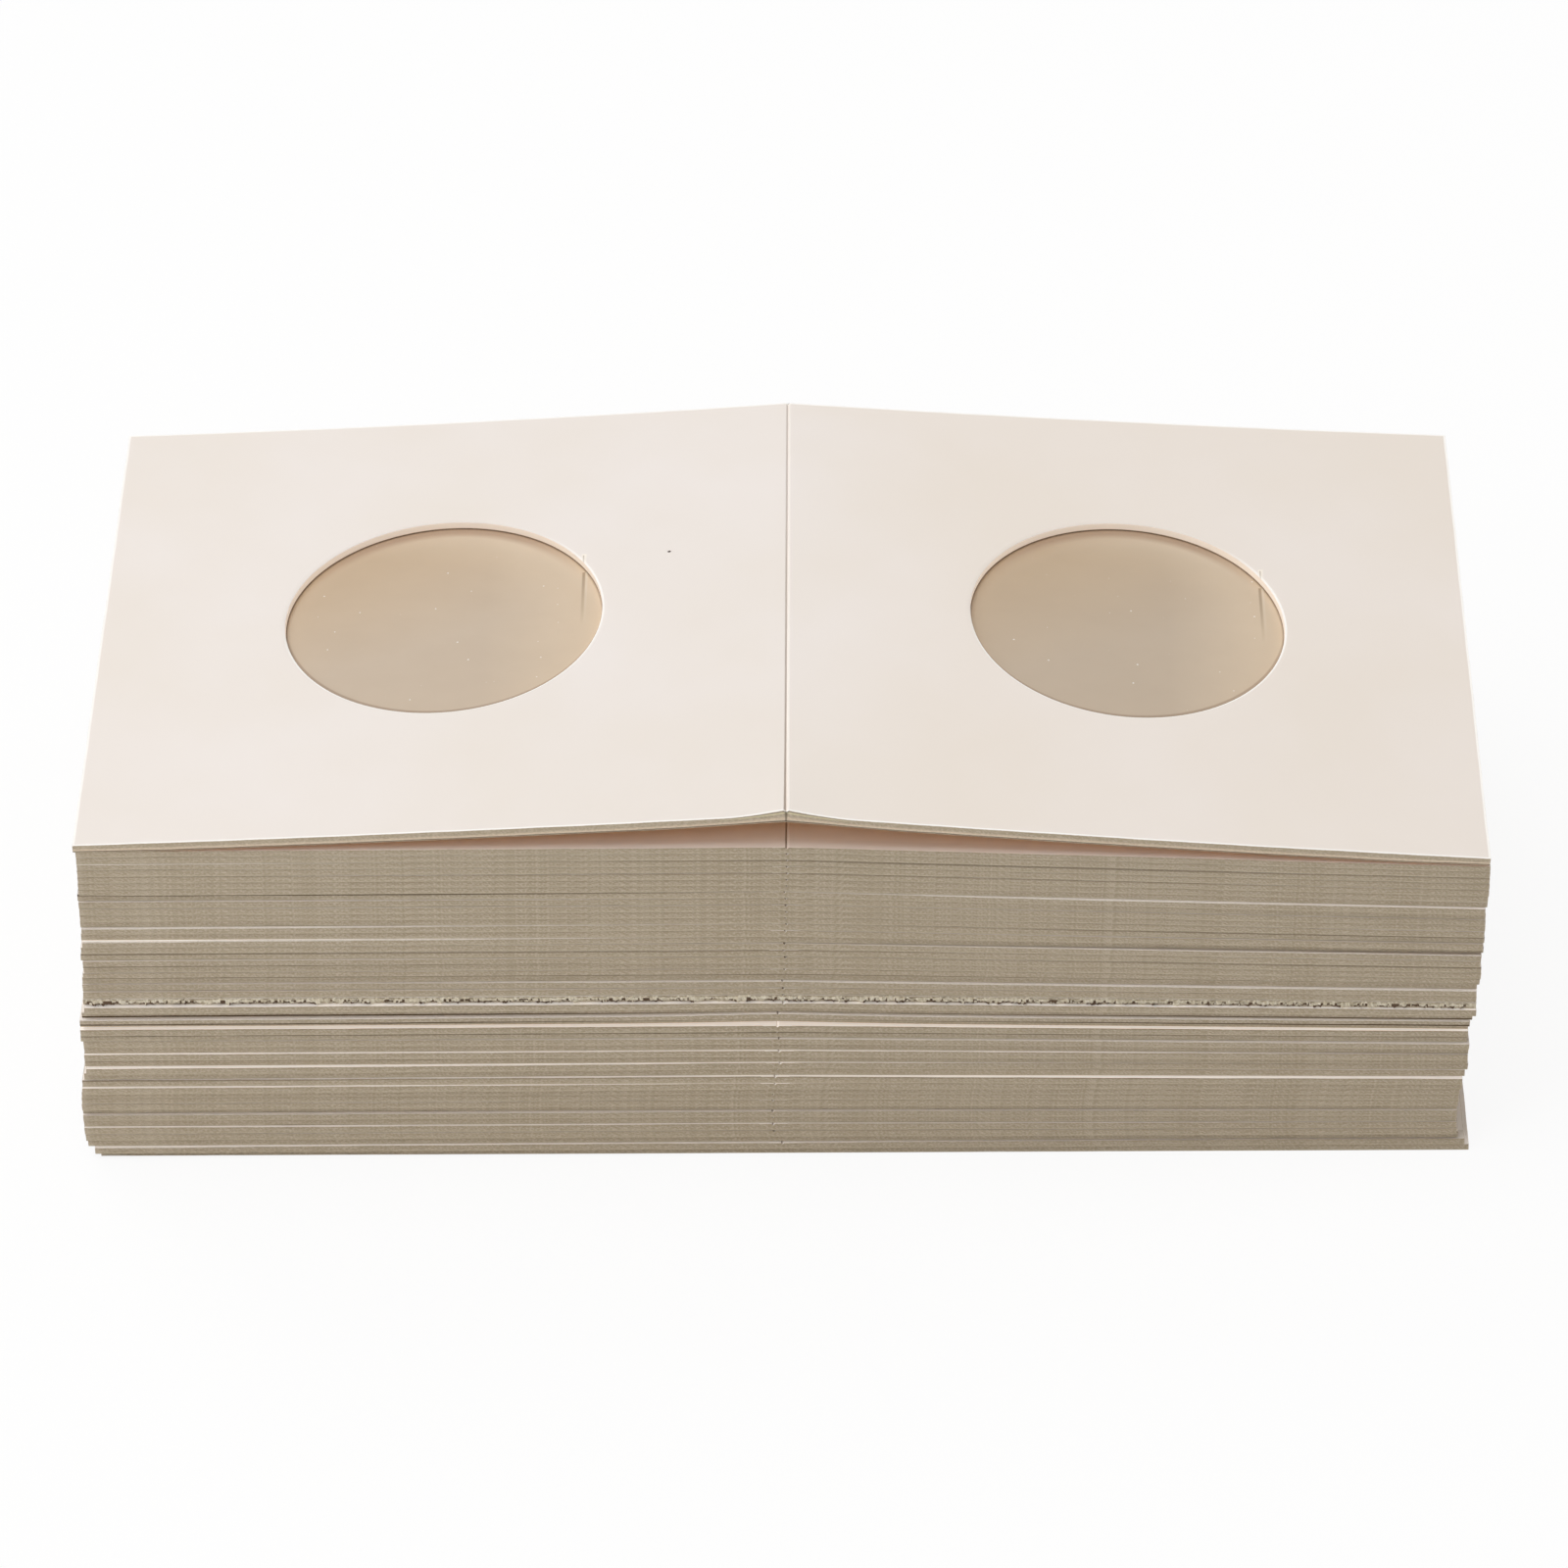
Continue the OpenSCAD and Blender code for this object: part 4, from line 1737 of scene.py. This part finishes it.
    def _film(self) -> Object:
        """Builds the film across both leaves.

        Returns:
            The film.
        """
        base = self.pack.cut
        cut = FilmCut(base.length, base.width, self.pack.film_t, self.film_columns, self.film_rows)
        mesh = cut.mesh("top_film")
        set_coordinates(mesh, self.drape(coordinates(mesh)))
        piece = new_piece("top_film", mesh, *self.pack.stock.sheet)
        self._join_leaves(piece)
        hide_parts("top_left_film", "top_right_film")
        return piece


@dataclass(frozen=True)
class Tear:
    """One scale of the torn edge's raggedness.

    It turns over so many times a millimetre along the edge, and a radius round it, from a start of its own.
    """

    along: float
    around: float
    deep: float
    start: tuple[float, float] = (0.0, 0.0)

    def depth(self, spot: Vector) -> float:
        """Works out how far it moves a spot out, as a share of the radius."""
        place = (spot.x * self.along, spot.y * self.around + self.start[0], spot.z * self.around + self.start[1])
        return self.deep * noise.noise(Vector(place))


@dataclass
class TornEdge:
    """The lower front edge of one flip in the pack, torn by a blunt blade: a ragged bead of pulp."""

    pack: Pack
    number: int = 26
    radius: float = 0.27 * MM
    sides: int = 8
    cuts: int = 1100
    forward: float = -0.03 * MM
    above_share: float = 0.9
    core: float = 0.72
    thinnest: float = 0.1
    tears: tuple[Tear, ...] = (
        Tear(0.55, 0.0, 0.4, (3.1, 0.0)), Tear(3.7, 0.8, 0.7), Tear(11.0, 1.7, 0.45, (0.0, 9.0)),
    )
    # where the faces under the tufts get the dark material of painted shade
    shaded_spots: Tear = Tear(1.3, 0.0, 1.0, (7.7, 0.0))
    shaded_from: float = -0.25
    shaded_facing: float = 0.1
    fibres: int = 110
    fibre_r: float = 0.028 * MM
    fibre_length: tuple[float, float] = (0.25 * MM, 0.7 * MM)
    fibre_span: float = 0.99
    fibre_out: tuple[float, float] = (0.2, 0.9)
    fibre_low: tuple[float, float] = (-0.7, 0.9)
    fibre_lean: float = 0.5
    fibre_turn: float = 0.4
    middle_level: float = 0.5
    level_per_radius: float = 0.2
    sharp_deg: float = 60.0

    SHADE_SLOT = 1

    def build(self) -> list[Object]:
        """Builds the bead.

        Returns:
            The piece.
        """
        bm = self._rod()
        draw = np.random.default_rng(self.number)
        length = self.pack.cut.length
        for run in draw.uniform(-length, length, self.fibres) * self.fibre_span:
            self._fibre(bm, run, draw)
        self._dress(bm)
        mesh = finish_mesh(bm, "torn_edge", self.sharp_deg)
        flat = coordinates(mesh)
        flat[:, 1] -= self.pack.cut.width / 2 + self.forward
        flat[:, 2] += self.radius * self.above_share
        set_coordinates(mesh, self.pack.flips[self.number - 1].place(flat))
        # Painted shade: a dark material on the faces under the tufts.
        under_shade = ClayCoat("torn_shadow", colour="5A4838", clouds="6A5644", roughness=0.9).material()
        piece = new_piece("torn_edge", mesh, self.pack.stock.torn, under_shade)
        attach(piece, self.pack.body_of[f"flip_{self.number:02d}_card"])
        return [piece]

    def _rod(self) -> BMesh:
        """Makes the ragged rod along the whole edge, round the X axis.

        Returns:
            The rod.
        """
        length = self.pack.cut.length
        bm = bmesh.new()
        bmesh.ops.create_cone(
            bm, cap_ends=True, segments=self.sides, radius1=self.radius, radius2=self.radius,
            depth=2 * length, matrix=Matrix.Rotation(math.pi / 2, 4, "Y"),
        )
        long_edges = [edge for edge in bm.edges if edge.calc_length() > length]
        bmesh.ops.subdivide_edges(bm, edges=long_edges, cuts=self.cuts, use_grid_fill=True)
        for vert in bm.verts:
            spot = Vector((vert.co.x / MM, vert.co.y / self.radius, vert.co.z / self.radius))
            size = max(self.core + sum(tear.depth(spot) for tear in self.tears), self.thinnest)
            vert.co.y *= size
            vert.co.z *= size
        return bm

    def _dress(self, bm: BMesh) -> None:
        """Gives the bead its flat place, and the faces under its tufts a dark material of painted shade.

        Args:
            bm: The bead.
        """
        uv = bm.loops.layers.uv.new(UV_NAME)
        for face in bm.faces:
            for loop in face.loops:
                level = self.middle_level + loop.vert.co.z / self.radius * self.level_per_radius
                loop[uv].uv = (loop.vert.co.x / MM, level)
        bmesh.ops.recalc_face_normals(bm, faces=bm.faces)
        for face in bm.faces:
            spot = Vector((face.calc_center_median().x / MM, 0, 0))
            if face.normal.z < self.shaded_facing and self.shaded_spots.depth(spot) > self.shaded_from:
                face.material_index = self.SHADE_SLOT

    def _fibre(self, bm: BMesh, run: float, draw: np.random.Generator) -> None:
        """Adds one stray fibre that lies along the bead and hangs a little away from it.

        Args:
            bm: The bead.
            run: Where the fibre is along the edge.
            draw: Where chance comes from.
        """
        length = draw.uniform(*self.fibre_length)
        out = draw.uniform(*self.fibre_out) * self.radius
        low = draw.uniform(*self.fibre_low) * self.radius
        lie = Matrix.Rotation(math.pi / 2 + draw.uniform(-self.fibre_lean, self.fibre_lean), 4, "Y")
        turn = Matrix.Rotation(draw.uniform(-self.fibre_turn, self.fibre_turn), 4, "Z")
        place = Matrix.Translation((run, -out, low)) @ turn @ lie
        bmesh.ops.create_cone(
            bm, cap_ends=True, segments=5, radius1=self.fibre_r, radius2=self.fibre_r / 2,
            depth=length, matrix=place,
        )


# The studio


@dataclass(frozen=True)
class Lamp:
    """A square soft lamp that looks at the pack."""

    name: str
    place: tuple[float, float, float]
    size: float
    power: float
    colour: tuple[float, float, float] = (1.0, 1.0, 1.0)

    def build(self) -> None:
        """Hangs the lamp."""
        light = bpy.data.lights.new(self.name, "AREA")
        light.shape = "SQUARE"
        light.size = self.size
        light.energy = self.power
        light.color = self.colour
        lamp = bpy.data.objects.new(self.name, light)
        lamp.location = self.place
        lamp.rotation_euler = Vector(self.place).to_track_quat("Z", "Y").to_euler()
        bpy.context.scene.collection.objects.link(lamp)


@dataclass(frozen=True)
class Studio:
    """The ground, the light and the camera."""

    eye: tuple[float, float, float] = (6.7 * MM, -416.2 * MM, 347.1 * MM)
    heading_deg: float = -0.97
    down_deg: float = 38.58
    roll_deg: float = -0.982
    lens_mm: float = 161.1
    sensor_mm: float = 36.0
    clip_start: float = 0.01
    floor_half: float = 1.5
    floor_drop: float = 0.02 * MM
    ambient: float = 0.3
    lamps: tuple[Lamp, ...] = (
        Lamp("over_lamp", place=(-0.25, -0.12, 0.95), size=0.7, power=5.07),
        Lamp("side_lamp", place=(0.65, 0.12, 0.14), size=0.35, power=1.2),
        Lamp("front_lamp", place=(-0.4, -0.4, 0.4), size=0.25, power=0.68),
        Lamp("back_lamp", place=(-0.4, 0.6, 0.6), size=0.5, power=1.5),
    )

    def build(self) -> None:
        """Builds the ground, the light and the camera."""
        self._floor()
        self._sky()
        for lamp in self.lamps:
            lamp.build()
        self._camera()
        bpy.context.scene.view_settings.view_transform = "Standard"

    def _floor(self) -> None:
        """Lays the ground just under the pack."""
        bm = bmesh.new()
        down = Matrix.Translation((0, 0, -self.floor_drop))
        bmesh.ops.create_grid(bm, x_segments=1, y_segments=1, size=self.floor_half, matrix=down)
        mesh = bpy.data.meshes.new("floor")
        bm.to_mesh(mesh)
        bm.free()
        floor = new_piece("floor", mesh, FloorPaper("floor_paper").material())

    def _sky(self) -> None:
        """Lights the room evenly, and shows it white."""
        world = bpy.data.worlds.new("studio")
        world.use_nodes = True
        bpy.context.scene.world = world
        nodes, links = world.node_tree.nodes, world.node_tree.links
        back = nodes["Background"]
        back.inputs["Color"].default_value = (1, 1, 1, 1)
        rays = nodes.new("ShaderNodeLightPath")
        seen = rays.outputs["Is Camera Ray"]
        for name in ("Is Glossy Ray", "Is Transmission Ray"):
            either = nodes.new("ShaderNodeMath")
            either.operation = "MAXIMUM"
            links.new(seen, either.inputs[0])
            links.new(rays.outputs[name], either.inputs[1])
            seen = either.outputs[0]
        level = nodes.new("ShaderNodeMapRange")
        level.inputs["To Min"].default_value = self.ambient
        level.inputs["To Max"].default_value = 1.0
        links.new(seen, level.inputs["Value"])
        links.new(level.outputs[0], back.inputs["Strength"])

    def _camera(self) -> None:
        """Puts the camera where the photograph was taken from."""
        yaw, pitch, roll = (math.radians(v) for v in (self.heading_deg, self.down_deg, self.roll_deg))
        ahead = Vector((math.sin(yaw) * math.cos(pitch), math.cos(yaw) * math.cos(pitch), -math.sin(pitch)))
        level = Vector((math.cos(yaw), -math.sin(yaw), 0))
        over = level.cross(ahead)
        right = level * math.cos(roll) + over * math.sin(roll)
        up = over * math.cos(roll) - level * math.sin(roll)
        data = bpy.data.cameras.new("camera")
        data.lens = self.lens_mm
        data.sensor_width = self.sensor_mm
        data.clip_start = self.clip_start
        camera = bpy.data.objects.new("camera", data)
        turn = Matrix((right, up, -ahead)).transposed().to_4x4()
        camera.matrix_world = Matrix.Translation(self.eye) @ turn
        bpy.context.scene.collection.objects.link(camera)
        bpy.context.scene.camera = camera


def main() -> None:
    """Builds the studio and the flips, and says what was made."""
    logging.basicConfig(level=logging.INFO, format="%(name)s: %(message)s")
    Studio().build()
    pack = Pack(Stock.make())
    for assembly in (pack, TopFlip(pack), TornEdge(pack)):
        for piece in assembly.build():
            log.info("%s: %d faces", piece.name, len(piece.data.polygons))


if __name__ == "__main__":
    main()
